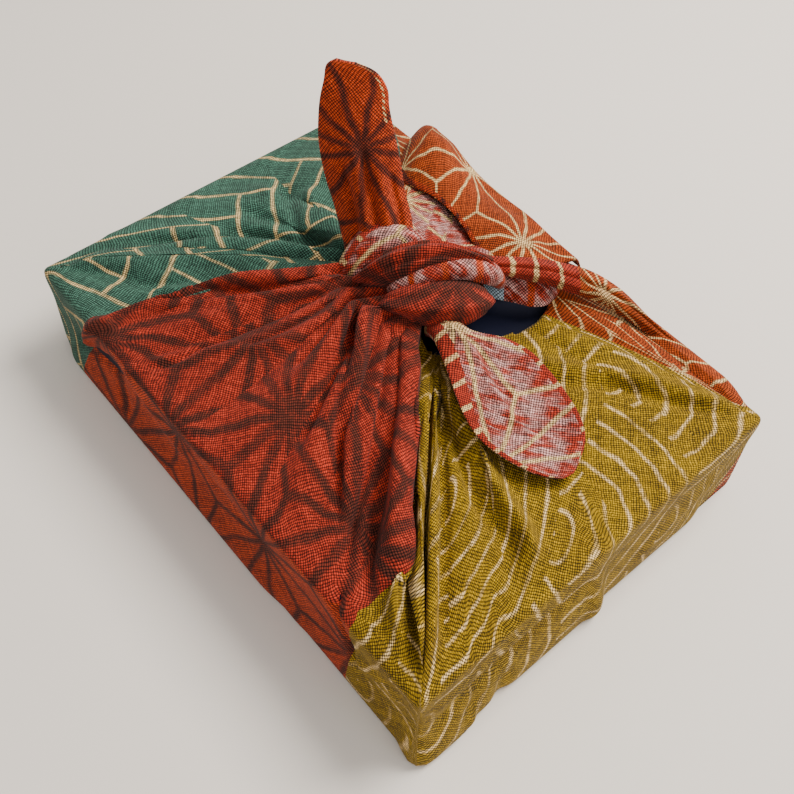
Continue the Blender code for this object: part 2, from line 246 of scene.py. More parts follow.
KNOT_COLLAR = (
    (-34.8, 1.1, 55, -28.8, 4.1, 52, 2, 6),
    (-34.2, 3.9, 63, -23.5, 8.1, 58, 3, 6.5),
    (-34.7, 9.6, 68, -20.3, 11.7, 63, 3, 7),
    (-34.8, 15.3, 71, -18.1, 17, 67, 3, 7.5),
    (-32.6, 21.8, 72, -16.1, 21.5, 69, 3, 7.5),
    (-26.5, 25.6, 70, -14.1, 25.6, 68, 3, 7),
    (-20.6, 28.6, 67, -13, 29.6, 64, 2, 6),
)
STRAP = (
    (0, 38, 68, 5, 36, 62, 1.5, 6),
    (7, 45, 70, 11, 43, 64, 1.5, 5),
    (12, 51, 70, 16, 48, 64, 2, 5),
    (16, 57, 69, 21, 53, 62.5, 2.5, 5),
    (21, 63, 68, 27, 59, 61, 2.5, 5),
    (26, 69, 66, 33, 65, 58, 2.5, 5),
    (32, 75, 64, 39, 71, 55, 2.5, 4),
    (39, 80, 61, 47, 76, 53, 2.5, 4),
    (48, 84, 57, 56, 79, 50.5, 2, 3.5),
    (60, 86, 52, 67, 82, 48.5, 1.5, 3),
    (74, 87, 48, 79, 84, 47.2, 1, 2),
    (90, 87.4, 46, 93, 85.5, 46, 0.4, 1),
)
STRAP_LINING = (
    (6.5, 44.6, 62, 12, 40.6, 54, 1, 2),
    (11.3, 48.9, 62, 17.6, 44.1, 54, 1, 2),
    (15.8, 52.5, 61.5, 22.3, 48.1, 53.5, 1, 2),
    (20.4, 57.1, 60.5, 27.8, 52.3, 53, 1, 2),
    (25.1, 61.7, 59, 30.6, 58.1, 52.5, 1, 2),
    (29, 66.5, 56, 28.4, 65.9, 51, 0.5, 2),
)
LOOSE_FOLD = (
    (-85, 87.5, 46, -64, 59, 57.5, 6, 1.4),
    (-79, 88, 46, -59, 57, 58.5, 16, 1.4),
    (-71, 88, 46, -54, 55, 59, 18, 1.4),
    (-60, 88, 46, -46, 56, 60.5, 16, 1.4),
    (-49, 88, 46, -38, 57.5, 61, 10, 1.4),
    (-37, 88, 46, -28, 57.5, 61, 6.6, 1.4),
    (-23, 88, 46, -18, 56, 60, 6.8, 1.4),
    (-8, 88, 46, -9, 54, 58, 9, 1.4),
    (8, 88, 46, 3, 52, 56, 8, 1.4),
    (22, 88, 46, 14, 56, 54, 6, 1.4),
)
UPRIGHT_END = (
    (-36, 9, 57, -12, 24, 58, 3, 7),
    (-43, 11, 67, -17, 28, 67, 4, 5),
    (-47.5, 11.4, 77, -23.5, 31.5, 76, 5, 3),
    (-52, 11.3, 87, -30.5, 33.5, 85, 5, 2),
    (-55, 11.3, 97, -34.5, 34.5, 95, 5, 1.8),
    (-57.5, 12.4, 107, -38.4, 34.5, 106, 4, 1.8),
    (-59.2, 14.8, 118, -42.3, 34.8, 116, 3, 1.8),
    (-60, 17.8, 126, -44.4, 35.4, 123, 2, 1.8),
    (-61, 20, 131, -47.8, 32.8, 129.5, 1, 1.8),
    (-59.5, 23, 133, -53, 28, 132.5, 0.5, 1.8),
)
LEAF_END = (
    (12, 8, 57, 18, 21, 57, 2, 6),
    (21, 5, 62, 27, 19, 61, 4, 3),
    (33, 0, 62, 36, 27, 61, 2, 2),
    (44, -5, 61, 46, 31, 60, -3, 1.8),
    (53, -8.5, 60, 56, 31, 59, -4, 1.8),
    (63, -10, 58, 67, 29.5, 57.5, -4, 1.8),
    (74, -8, 56.5, 77, 27, 56, -3, 1.8),
    (83, -4, 55, 85, 22.5, 54.5, -2, 1.8),
    (89, 0.5, 53.5, 90, 15, 53.5, -1, 1.8),
    (92, 5, 52.5, 92.5, 9, 52.5, 0, 1.8),
)

# The camera that the wrap is seen from: place, picture's right, up and back.
CAMERA_PLACE = (0.187376, -0.165511, 0.357073)
CAMERA_RIGHT = (0.64737207, 0.7616763, 0.02754296)
CAMERA_UP = (-0.63052677, 0.51490229, 0.58078535)
CAMERA_BACK = (0.42818851, -0.39335079, 0.81359066)
CAMERA_LENS = 45.32
SENSOR = 36.0


# ---------------------------------------------------------------- settings


def colour_property(name, description, default):
    return FloatVectorProperty(
        name=name, description=description, subtype="COLOR", size=3, min=0.0, max=1.0, default=default
    )


class FuroshikiClothSettings(bpy.types.PropertyGroup):
    thickness: FloatProperty(
        name="Cloth thickness", description="Thickness of the gauze as it lies on the box",
        default=0.0009, min=0.0004, max=0.002, unit="LENGTH", precision=4,
    )
    yarn_pitch: FloatProperty(
        name="Yarn pitch", description="Distance between neighbouring yarns, in millimetres",
        default=0.94, min=0.3, max=3.0,
    )
    red: colour_property("Red corner", "Ground colour of the red corner", (0.245, 0.0205, 0.0085))
    # A more orange copy of the red ground: painted shade for the red corner's sides, which turn from the light and are
    # seen at a slant. The upright end and the hems use it too.
    shaded_red: colour_property("Shaded red", "Ground colour of the red corner with painted shade, for its sides and upright end", (0.31, 0.033, 0.006))
    red_line: colour_property("Red corner's lines", "Dark lines printed on the red corner", (0.055, 0.011, 0.006))
    orange: colour_property("Orange corner", "Ground colour of the orange corner", (0.245, 0.037, 0.004))
    mustard: colour_property("Mustard corner", "Ground colour of the mustard corner", (0.195, 0.118, 0.0022))
    teal: colour_property("Teal corner", "Ground colour of the teal corner", (0.038, 0.1, 0.07))
    pale_blue: colour_property("Reverse of the teal corner", "Colour of the teal corner's unprinted side", (0.27, 0.36, 0.42))
    cream: colour_property("Cream lines", "Light lines printed on three of the corners", (0.54, 0.37, 0.16))
    reverse: colour_property("Reverse side", "Colour of the unprinted side of the cloth", (0.42, 0.225, 0.2))


class FuroshikiBoxSettings(bpy.types.PropertyGroup):
    colour: colour_property("Box colour", "Colour of the box inside the cloth", (0.0008, 0.0015, 0.009))
    roughness: FloatProperty(
        name="Box roughness", description="Roughness of the box's surface",
        default=0.6, min=0.0, max=1.0, subtype="FACTOR",
    )


class FuroshikiStudioSettings(bpy.types.PropertyGroup):
    floor: colour_property("Floor", "Colour of the plain floor", (0.77, 0.71, 0.64))
    key_power: FloatProperty(
        name="Key light", description="Power of the large soft light behind the wrap",
        default=22.0, min=0.0, max=100.0, unit="POWER",
    )
    fill_power: FloatProperty(
        name="Fill light", description="Power of the soft light beside the camera",
        default=3.0, min=0.0, max=100.0, unit="POWER",
    )
    ambient: FloatProperty(
        name="Ambient light", description="Strength of the even light from all around",
        default=0.7, min=0.0, max=5.0,
    )


# ------------------------------------------------------------------- nodes


class NodeBoard:
    """Adds nodes to a tree and links them, each call giving the output socket."""

    def __init__(self, tree):
        self.tree = tree

    def feed(self, socket, value):
        if value is None:
            return
        if isinstance(value, bpy.types.NodeSocket):
            self.tree.links.new(value, socket)
        else:
            socket.default_value = value

    def add(self, kind, **settings):
        node = self.tree.nodes.new(kind)
        for key, value in settings.items():
            setattr(node, key, value)
        return node

    def math(self, operation, first, second=None, third=None, clamp=False):
        node = self.add("ShaderNodeMath", operation=operation, use_clamp=clamp)
        for socket, value in zip(node.inputs, (first, second, third)):
            self.feed(socket, value)
        return node.outputs[0]

    def vector(self, operation, first, second=None, third=None, scale=None):
        node = self.add("ShaderNodeVectorMath", operation=operation)
        for socket, value in zip(node.inputs, (first, second, third)):
            self.feed(socket, value)
        if scale is not None:
            self.feed(node.inputs["Scale"], scale)
        return node.outputs["Value" if operation in ("LENGTH", "DOT_PRODUCT", "DISTANCE") else "Vector"]

    def split(self, vector):
        node = self.add("ShaderNodeSeparateXYZ")
        self.feed(node.inputs[0], vector)
        return node.outputs[0], node.outputs[1]

    def join(self, x, y, z=0.0):
        node = self.add("ShaderNodeCombineXYZ")
        for socket, value in zip(node.inputs, (x, y, z)):
            self.feed(socket, value)
        return node.outputs[0]

    def turn(self, vector, angle):
        node = self.add("ShaderNodeVectorRotate", rotation_type="Z_AXIS")
        self.feed(node.inputs["Vector"], vector)
        self.feed(node.inputs["Angle"], angle)
        return node.outputs[0]

    def noise(self, vector, scale, detail=2.0, roughness=0.5, output="Fac"):
        node = self.add("ShaderNodeTexNoise", noise_dimensions="3D")
        self.feed(node.inputs["Vector"], vector)
        self.feed(node.inputs["Scale"], scale)
        self.feed(node.inputs["Detail"], detail)
        self.feed(node.inputs["Roughness"], roughness)
        return node.outputs[0 if output == "Fac" else 1]

    def white(self, value):
        node = self.add("ShaderNodeTexWhiteNoise", noise_dimensions="1D")
        self.feed(node.inputs["W"], value)
        return node.outputs["Value"]

    def between(self, value, low, high, to_low=0.0, to_high=1.0):
        node = self.add("ShaderNodeMapRange", interpolation_type="SMOOTHSTEP")
        for socket, given in zip(node.inputs, (value, low, high, to_low, to_high)):
            self.feed(socket, given)
        return node.outputs[0]

    def mix(self, factor, first, second):
        node = self.add("ShaderNodeMix", data_type="RGBA")
        self.feed(node.inputs[0], factor)
        self.feed(node.inputs[6], first)
        self.feed(node.inputs[7], second)
        return node.outputs[2]

    def line(self, apart, width, softness):
        """A line of the given width along where apart is nothing."""
        half = self.math("MULTIPLY", width, 0.5)
        soft = self.math("MULTIPLY", half, softness)
        return self.between(apart, self.math("SUBTRACT", half, soft), self.math("ADD", half, soft), 1.0, 0.0)

    def group(self, tree, **values):
        node = self.add("ShaderNodeGroup", node_tree=tree)
        for key, value in values.items():
            self.feed(node.inputs[key.replace("_", " ")], value)
        return node


def new_group(name, inputs, outputs):
    """An empty shader group with the named sockets, its board, and its two end nodes."""
    tree = bpy.data.node_groups.new(name, "ShaderNodeTree")
    for label, kind, default in inputs:
        socket = tree.interface.new_socket(label, in_out="INPUT", socket_type="NodeSocket" + kind)
        if default is not None:
            socket.default_value = default
    for label, kind in outputs:
        tree.interface.new_socket(label, in_out="OUTPUT", socket_type="NodeSocket" + kind)
    board = NodeBoard(tree)
    return tree, board, board.add("NodeGroupInput").outputs, board.add("NodeGroupOutput").inputs


def gauze_group():
    """An open plain weave on the flat cloth, its yarns along the cloth's own edges."""
    tree, board, given, result = new_group(
        "Open gauze",
        (("Flat", "Vector", None), ("Pitch", "Float", 0.94), ("Slub", "Float", 0.5)),
        (("Openings", "Float"), ("Height", "Float"), ("Yarn", "Float")),
    )
    wander = board.noise(given["Flat"], 0.06, 2.0, 0.5, "Color")
    fine = board.noise(given["Flat"], 0.5, 1.0, 0.5, "Color")
    moved = board.vector("MULTIPLY_ADD", board.vector("SUBTRACT", wander, (0.5, 0.5, 0.5)), (3.0, 3.0, 0.0), given["Flat"])
    moved = board.vector("MULTIPLY_ADD", board.vector("SUBTRACT", fine, (0.5, 0.5, 0.5)), (0.5, 0.5, 0.0), moved)
    along, across = board.split(board.turn(moved, WEAVE_TURN))
    covers, yarns, phases, numbers = [], [], [], []
    for place, other, seed in ((along, across, 3.7), (across, along, 91.3)):
        count = board.math("DIVIDE", place, given["Pitch"])
        number = board.math("FLOOR", count)
        off = board.math("ABSOLUTE", board.math("SUBTRACT", board.math("FRACT", count), 0.5))
        own = board.white(board.math("ADD", number, seed))
        lengthwise = board.noise(board.join(board.math("MULTIPLY", other, 0.22), board.math("MULTIPLY", number, 7.3)), 1.0, 1.0)
        bulk = board.math("MULTIPLY", board.math("ADD", own, lengthwise), given["Slub"])
        half = board.math("ADD", 0.24, board.math("MULTIPLY", bulk, 0.1))
        covers.append(board.between(off, board.math("SUBTRACT", half, 0.13), board.math("ADD", half, 0.13), 1.0, 0.0))
        numbers.append(number)
        yarns.append(board.math("ADD", board.math("MULTIPLY", own, 0.5), board.math("MULTIPLY", lengthwise, 0.5)))
        phases.append(board.math("SINE", board.math("MULTIPLY", board.math("ADD", count, 0.5), math.pi)))
    over = board.math("MULTIPLY_ADD", board.math("MULTIPLY", phases[0], phases[1]), 0.5, 0.5)
    open_share = board.math("MULTIPLY", board.math("SUBTRACT", 1.0, covers[0]), board.math("SUBTRACT", 1.0, covers[1]))
    first = board.math("MULTIPLY", covers[0], board.math("MULTIPLY_ADD", over, 0.2, 0.8))
    second = board.math("MULTIPLY", covers[1], board.math("MULTIPLY_ADD", over, -0.2, 1.0))
    crossing = board.math("MULTIPLY", covers[0], covers[1])
    thread = board.math("MULTIPLY", board.math("MAXIMUM", first, second), 0.24)
    board.feed(result["Openings"], open_share)
    board.feed(result["Height"], board.math("MULTIPLY_ADD", crossing, 0.76, thread))
    which = board.math("GREATER_THAN", first, second)
    yarn = board.math("ADD", board.math("MULTIPLY", which, yarns[0]), board.math("MULTIPLY", board.math("SUBTRACT", 1.0, which), yarns[1]))
    bead = board.white(board.math("MULTIPLY_ADD", numbers[0], 57.31, board.math("MULTIPLY", numbers[1], 3.717)))
    board.feed(result["Yarn"], board.math("MULTIPLY_ADD", bead, 0.45, board.math("MULTIPLY", yarn, 0.55)))
    return tree


def wavering_group():
    """Moves a flat place by a slow waver, so that printed lines run unevenly."""
    tree, board, given, result = new_group(
        "Uneven print",
        (("Flat", "Vector", None), ("Amount", "Float", 2.0), ("Scale", "Float", 0.05)),
        (("Flat", "Vector"),),
    )
    slow = board.vector("SUBTRACT", board.noise(given["Flat"], given["Scale"], 2.0, 0.6, "Color"), (0.5, 0.5, 0.5))
    shift = board.vector("SCALE", board.vector("MULTIPLY", slow, (2.0, 2.0, 0.0)), scale=given["Amount"])
    board.feed(result["Flat"], board.vector("ADD", given["Flat"], shift))
    return tree


def hemp_leaf_group():
    """Stars of twelve rays on a triangular lattice, the hemp leaf pattern."""
    tree, board, given, result = new_group(
        "Hemp leaf lines",
        (("Flat", "Vector", None), ("Centre", "Vector", None), ("Spacing", "Float", 52.0), ("Turn", "Float", 0.0), ("Width", "Float", 3.0), ("Softness", "Float", 0.8)),
        (("Lines", "Float"),),
    )
    place = board.turn(board.vector("SUBTRACT", given["Flat"], given["Centre"]), given["Turn"])
    half_x = board.math("MULTIPLY", given["Spacing"], 0.5)
    half_y = board.math("MULTIPLY", given["Spacing"], math.sqrt(3) / 2)
    high = board.join(half_x, half_y, 1.0)
    low = board.vector("SCALE", high, scale=-1.0)
    near = []
    for shift in (board.join(0.0, 0.0), board.join(half_x, half_y)):
        wrapped = board.vector("WRAP", board.vector("SUBTRACT", place, shift), high, low)
        near.append(board.vector("MULTIPLY", wrapped, (1.0, 1.0, 0.0)))
    lengths = [board.vector("LENGTH", item) for item in near]
    first_nearer = board.math("LESS_THAN", lengths[0], lengths[1])
    reach = board.math("MINIMUM", lengths[0], lengths[1])
    chosen = board.add("ShaderNodeMix", data_type="VECTOR")
    board.feed(chosen.inputs[0], first_nearer)
    board.feed(chosen.inputs[4], near[1])
    board.feed(chosen.inputs[5], near[0])
    x, y = board.split(chosen.outputs[1])
    angle = board.math("ARCTAN2", y, x)
    sixth = math.pi / 6
    off = board.math("WRAP", angle, sixth / 2, -sixth / 2)
    apart = board.math("ABSOLUTE", board.math("MULTIPLY", reach, board.math("SINE", off)))
    board.feed(result["Lines"], board.line(apart, given["Width"], given["Softness"]))
    return tree


def woven_bars_group():
    """Outlines of bars laid in a herringbone, three widths long."""
    tree, board, given, result = new_group(
        "Woven bar lines",
        (("Flat", "Vector", None), ("Bar width", "Float", 13.0), ("Width", "Float", 2.0), ("Softness", "Float", 0.5)),
        (("Lines", "Float"),),
    )
    along, across = board.split(board.vector("DIVIDE", board.turn(given["Flat"], WEAVE_TURN), board.join(given["Bar width"], given["Bar width"], 1.0)))
    column, row = board.math("FLOOR", along), board.math("FLOOR", across)
    along_in, across_in = board.math("SUBTRACT", along, column), board.math("SUBTRACT", across, row)
    step = board.math("FLOORED_MODULO", board.math("SUBTRACT", column, row), 6.0)
    lying = board.math("LESS_THAN", step, 2.5)
    distances = []
    for inside, run in (
        (across_in, board.math("ADD", step, along_in)),
        (along_in, board.math("ADD", board.math("SUBTRACT", 5.0, step), across_in)),
    ):
        side = board.math("MINIMUM", inside, board.math("SUBTRACT", 1.0, inside))
        end = board.math("MINIMUM", run, board.math("SUBTRACT", 3.0, run))
        distances.append(board.math("MINIMUM", side, end))
    apart = board.math("ADD", board.math("MULTIPLY", lying, distances[0]), board.math("MULTIPLY", board.math("SUBTRACT", 1.0, lying), distances[1]))
    apart = board.math("MULTIPLY", apart, given["Bar width"])
    board.feed(result["Lines"], board.line(apart, given["Width"], given["Softness"]))
    return tree


def scale_rings_group():
    """Rings in overlapping scales, the sea wave pattern."""
    tree, board, given, result = new_group(
        "Sea wave lines",
        (("Flat", "Vector", None), ("Radius", "Float", 40.0), ("Rings", "Float", 9.0), ("Turn", "Float", 0.0), ("Width", "Float", 1.0), ("Softness", "Float", 0.6)),
        (("Lines", "Float"),),
    )
    x, y = board.split(board.turn(given["Flat"], given["Turn"]))
    step = board.math("MULTIPLY", given["Radius"], 0.5)
    behind = board.math("FLOOR", board.math("DIVIDE", y, step))
    minus = board.math("MULTIPLY", given["Radius"], -1.0)
    reaches = []
    for row in (board.math("SUBTRACT", behind, 1.0), behind):
        odd = board.math("FLOORED_MODULO", row, 2.0)
        side = board.math("WRAP", board.math("SUBTRACT", x, board.math("MULTIPLY", odd, given["Radius"])), given["Radius"], minus)
        up = board.math("SUBTRACT", y, board.math("MULTIPLY", row, step))
        reaches.append(board.vector("LENGTH", board.join(side, up)))
    front = board.math("LESS_THAN", reaches[0], given["Radius"])
    reach = board.math("ADD", board.math("MULTIPLY", front, reaches[0]), board.math("MULTIPLY", board.math("SUBTRACT", 1.0, front), reaches[1]))
    half_ring = board.math("MULTIPLY", given["Rings"], 0.5)
    apart = board.math("ABSOLUTE", board.math("WRAP", reach, half_ring, board.math("MULTIPLY", half_ring, -1.0)))
    board.feed(result["Lines"], board.line(apart, given["Width"], given["Softness"]))
    return tree


def dyed_yarn_group():
    """Colour of dyed gauze: ground and lines taken up unevenly by the yarns, with painted shade where the yarns run
    under and in the openings, and painted highlight on the crossings.
    """
    tree, board, given, result = new_group(
        "Dyed gauze",
        (
            ("Ground", "Color", (0.5, 0.1, 0.05, 1.0)), ("Line colour", "Color", (0.7, 0.6, 0.4, 1.0)),
            ("Lines", "Float", 0.0), ("Broken", "Float", 0.3), ("Flat", "Vector", None),
            ("Yarn", "Float", 0.5), ("Height", "Float", 1.0), ("Openings", "Float", 0.0), ("Opening shade", "Float", 0.6), ("Yarn contrast", "Float", 0.5),
        ),
        (("Colour", "Color"),),
    )
    blotch = board.noise(given["Flat"], 0.045, 3.0, 0.6)
    ground = board.mix(board.math("MULTIPLY_ADD", blotch, 1.3, -0.35, clamp=True), board.vector("MULTIPLY", given["Ground"], (0.78, 0.74, 0.74)), board.vector("MULTIPLY", given["Ground"], (1.2, 1.22, 1.2)))
    bright = board.math("MULTIPLY_ADD", board.math("SUBTRACT", given["Yarn"], 0.5), board.math("MULTIPLY", given["Yarn contrast"], 1.5), 1.0)
    ground = board.vector("SCALE", ground, scale=bright)
    patchy = board.math("MULTIPLY_ADD", board.noise(given["Flat"], 0.45, 2.0, 0.6), 0.5, board.math("MULTIPLY", board.noise(given["Flat"], 0.05, 1.0, 0.5), 0.5))
    holds = board.math("SUBTRACT", 1.0, board.math("MULTIPLY", given["Broken"], board.between(patchy, 0.44, 0.58, 0.0, 1.0)))
    printed = board.math("MULTIPLY", given["Lines"], holds, clamp=True)
    tinted = board.vector("SCALE", given["Line colour"], scale=board.math("MULTIPLY_ADD", given["Yarn"], 0.7, 0.68))
    colour = board.mix(printed, ground, tinted)
    # Painted light and shade by the weave's height: lighter on the crossings, darker where a yarn runs under.
    colour = board.vector("SCALE", colour, scale=board.math("MULTIPLY_ADD", given["Height"], 1.9, 0.08))
    dark = board.vector("SCALE", colour, scale=board.math("SUBTRACT", 1.0, given["Opening shade"]))
    board.feed(result["Colour"], board.mix(given["Openings"], colour, dark))
    return tree


def reverse_group():
    """The unprinted side: pale pink yarn with the print's lines showing through."""
    tree, board, given, result = new_group(
        "Reverse side",
        (("Flat", "Vector", None), ("Pale", "Color", (0.6, 0.35, 0.35, 1.0)), ("Deep", "Color", (0.4, 0.05, 0.04, 1.0)), ("Cream", "Color", (0.7, 0.6, 0.4, 1.0)), ("Lines", "Float", 0.0)),
        (("Colour", "Color"),),
    )
    turned = board.turn(given["Flat"], WEAVE_TURN)
    streaks = board.noise(board.vector("MULTIPLY", turned, (0.5, 0.1, 1.0)), 0.8, 3.0, 0.7)
    patches = board.noise(given["Flat"], 0.09, 2.0, 0.6)
    share = board.between(board.math("ADD", board.math("MULTIPLY", streaks, 0.5), board.math("MULTIPLY", patches, 0.5)), 0.4, 0.58)
    ground = board.mix(share, given["Pale"], given["Deep"])
    board.feed(result["Colour"], board.mix(given["Lines"], ground, given["Cream"]))
    return tree


def node_group(name, maker):
    return bpy.data.node_groups.get(name) or maker()


def rgba(colour):
    return (*colour, 1.0)


def gauze_material(name, paint, opening_shade=0.6, yarn_contrast=0.5, bump=0.45):
    """A matt gauze. paint(board, flat) gives ground, line colour, lines and how broken they are."""
    settings = bpy.context.scene.furoshiki_cloth
    material = bpy.data.materials.new(name)
    material.use_nodes = True
    tree = material.node_tree
    tree.nodes.clear()
    board = NodeBoard(tree)
    flat = board.add("ShaderNodeUVMap", uv_map="flat_cloth").outputs[0]
    weave = board.group(node_group("Open gauze", gauze_group), Flat=flat, Pitch=settings.yarn_pitch, Slub=0.7)
    ground, line_colour, lines, broken = paint(board, flat)
    dyed = board.group(
        node_group("Dyed gauze", dyed_yarn_group), Ground=ground, Line_colour=line_colour, Lines=lines,
        Broken=broken, Flat=flat, Yarn=weave.outputs["Yarn"], Height=weave.outputs["Height"], Openings=weave.outputs["Openings"],
        Opening_shade=opening_shade, Yarn_contrast=yarn_contrast,
    )
    relief = board.add("ShaderNodeBump")
    relief.inputs["Strength"].default_value = bump
    relief.inputs["Distance"].default_value = 0.0006
    board.feed(relief.inputs["Height"], weave.outputs["Height"])
    shader = board.add("ShaderNodeBsdfPrincipled")
    board.feed(shader.inputs["Base Color"], dyed.outputs["Colour"])
    board.feed(shader.inputs["Normal"], relief.outputs["Normal"])
    shader.inputs["Roughness"].default_value = 0.88
    shader.inputs["Specular IOR Level"].default_value = 0.15
    shader.inputs["Sheen Weight"].default_value = 0.04
    shader.inputs["Sheen Roughness"].default_value = 0.5
    output = board.add("ShaderNodeOutputMaterial")
    tree.links.new(shader.outputs[0], output.inputs[0])
    return material


def wavered(board, flat, amount, scale=0.05):
    return board.group(node_group("Uneven print", wavering_group), Flat=flat, Amount=amount, Scale=scale).outputs[0]


def cloth_materials():
    """The finishes of the cloth, by the name of its printed corner."""
    settings = bpy.context.scene.furoshiki_cloth
    names = ("red", "shaded_red", "mustard", "orange", "teal", "reverse", "rim", "banded", "pale_blue", "hem")
    found = {key: bpy.data.materials.get("gauze_" + key) for key in names}
    if all(found.values()):
        return found
    leaf = node_group("Hemp leaf lines", hemp_leaf_group)
    bars = node_group("Woven bar lines", woven_bars_group)
    waves = node_group("Sea wave lines", scale_rings_group)

    def red(board, flat):
        moved = wavered(board, flat, 2.0)
        lines = board.group(leaf, Flat=moved, Centre=(16.5, 180.5, 0.0), Spacing=54.0, Turn=math.radians(-48), Width=4.2, Softness=0.55)
        return rgba(settings.red), rgba(settings.red_line), lines.outputs[0], 0.25

    # The red corner's print on the more orange ground with painted shade, for sides turned from the light.
    def shaded_red(board, flat):
        moved = wavered(board, flat, 2.0)
        lines = board.group(leaf, Flat=moved, Centre=(16.5, 180.5, 0.0), Spacing=54.0, Turn=math.radians(-48), Width=2.6, Softness=0.7)
        return rgba(settings.shaded_red), rgba(settings.red_line), lines.outputs[0], 0.2

    def orange(board, flat):
        moved = wavered(board, flat, 3.0)
        lines = board.group(leaf, Flat=moved, Centre=(-62.0, 160.0, 0.0), Spacing=46.0, Turn=math.radians(-45), Width=1.15, Softness=0.7)
        return rgba(settings.orange), rgba(settings.cream), lines.outputs[0], 0.3

    def teal(board, flat):
        moved = wavered(board, flat, 1.6)
        lines = board.group(bars, Flat=moved, Bar_width=15.0, Width=1.4, Softness=0.9)
        return rgba(settings.teal), rgba(settings.cream), lines.outputs[0], 0.45

    def mustard(board, flat):
        moved = wavered(board, flat, 3.0)
        lines = board.group(waves, Flat=moved, Radius=70.0, Rings=9.2, Turn=math.radians(130), Width=1.35, Softness=0.9)
        return rgba(settings.mustard), rgba(settings.cream), lines.outputs[0], 0.75

    def reverse(board, flat):
        moved = wavered(board, flat, 2.0)
        lines = board.group(leaf, Flat=moved, Centre=(0.0, 0.0, 0.0), Spacing=60.0, Turn=math.radians(8), Width=1.6, Softness=0.8)
        side = board.group(node_group("Reverse side", reverse_group), Flat=flat, Pale=rgba(settings.reverse), Deep=rgba(settings.red), Cream=rgba(settings.cream), Lines=lines.outputs[0])
        return side.outputs[0], rgba(settings.cream), 0.0, 0.0

    def hem(board, flat):
        u, v = board.split(flat)
        off = board.math("ABSOLUTE", board.math("WRAP", board.math("ADD", u, v), 1.1, -1.1))
        return rgba(settings.shaded_red), rgba(settings.cream), board.between(off, 0.4, 0.8, 1.0, 0.0), 0.1

    def bars_across(board, flat, apart, half):
        place = board.split(wavered(board, flat, 1.2, 0.12))[1]
        off = board.math("ABSOLUTE", board.math("WRAP", place, apart / 2, -apart / 2))
        return board.between(off, half * 0.6, half * 1.4, 1.0, 0.0)

    def rim(board, flat):
        return rgba(settings.red), rgba(settings.cream), bars_across(board, flat, 10.0, 0.9), 0.3

    def banded(board, flat):
        side = board.group(node_group("Reverse side", reverse_group), Flat=flat, Pale=rgba(settings.reverse), Deep=rgba(settings.red), Cream=rgba(settings.cream), Lines=0.0)
        return side.outputs[0], rgba(settings.shaded_red), bars_across(board, flat, 13.0, 1.5), 0.1

    def pale_blue(board, flat):
        return rgba(settings.pale_blue), rgba(settings.cream), 0.0, 0.0

    return {
        "red": gauze_material("gauze_red", red, 0.9, 0.95),
        "shaded_red": gauze_material("gauze_shaded_red", shaded_red, 0.8, 0.8),
        "mustard": gauze_material("gauze_mustard", mustard, 0.9, 0.95),
        "orange": gauze_material("gauze_orange", orange, 0.7, 0.7),
        "teal": gauze_material("gauze_teal", teal, 0.6, 0.7),
        "reverse": gauze_material("gauze_reverse", reverse, 0.9, 1.0),
        "rim": gauze_material("gauze_rim", rim, 0.6, 0.5),
        "banded": gauze_material("gauze_banded", banded, 0.9, 0.9),
        "hem": gauze_material("gauze_hem", hem, 0.4, 0.3),
        "pale_blue": gauze_material("gauze_pale_blue", pale_blue, 0.7, 0.5),
    }


# ------------------------------------------------------------------ shapes


def smooth_run(rows, steps):
    """A smooth run through the rows of a table, steps to each span."""
    rows = np.array(rows, float)
    run = []
    for index in range(len(rows) - 1):
        a, b = rows[max(index - 1, 0)], rows[index]
        c, d = rows[index + 1], rows[min(index + 2, len(rows) - 1)]
        for step in range(steps):
            t = step / steps
            run.append(0.5 * (2 * b + (c - a) * t + (2 * a - 5 * b + 4 * c - d) * t * t + (3 * b - a - 3 * c + d) * t ** 3))
    run.append(rows[-1])
    return np.array(run)


def smoothstep(value):
    value = np.clip(value, 0.0, 1.0)
    return value * value * (3 - 2 * value)


def perimeter_place(side, along):
    """Distance around the sharp rectangle from its front left corner."""
    half_x, half_y = WRAP_LENGTH / 2, WRAP_WIDTH / 2
    return {
        "front": along + half_x,
        "right": WRAP_LENGTH + along + half_y,
        "back": WRAP_LENGTH + WRAP_WIDTH + half_x - along,
        "left": 2 * WRAP_LENGTH + WRAP_WIDTH + half_y - along,
    }[side]


def perimeter_point(place):
    """The point of the sharp rectangle at that distance around it."""
    half_x, half_y = WRAP_LENGTH / 2, WRAP_WIDTH / 2
    place %= 2 * (WRAP_LENGTH + WRAP_WIDTH)
    if place < WRAP_LENGTH:
        return np.array((place - half_x, -half_y))
    place -= WRAP_LENGTH
    if place < WRAP_WIDTH:
        return np.array((half_x, place - half_y))
    place -= WRAP_WIDTH
    if place < WRAP_LENGTH:
        return np.array((half_x - place, half_y))
    return np.array((-half_x, half_y - (place - WRAP_LENGTH)))


def rounded(points, inset):
    """Points moved in from the rounded outline by the inset."""
    reach = np.array((WRAP_LENGTH / 2 - WRAP_CORNER, WRAP_WIDTH / 2 - WRAP_CORNER))
    core = np.clip(points, -reach, reach)
    out = points - core
    out /= np.maximum(np.linalg.norm(out, axis=1), 1e-9)[:, None]
    if inset <= WRAP_CORNER:
        return core + out * (WRAP_CORNER - inset)
    squeeze = 1 - (inset - WRAP_CORNER) / reach
    return core * squeeze


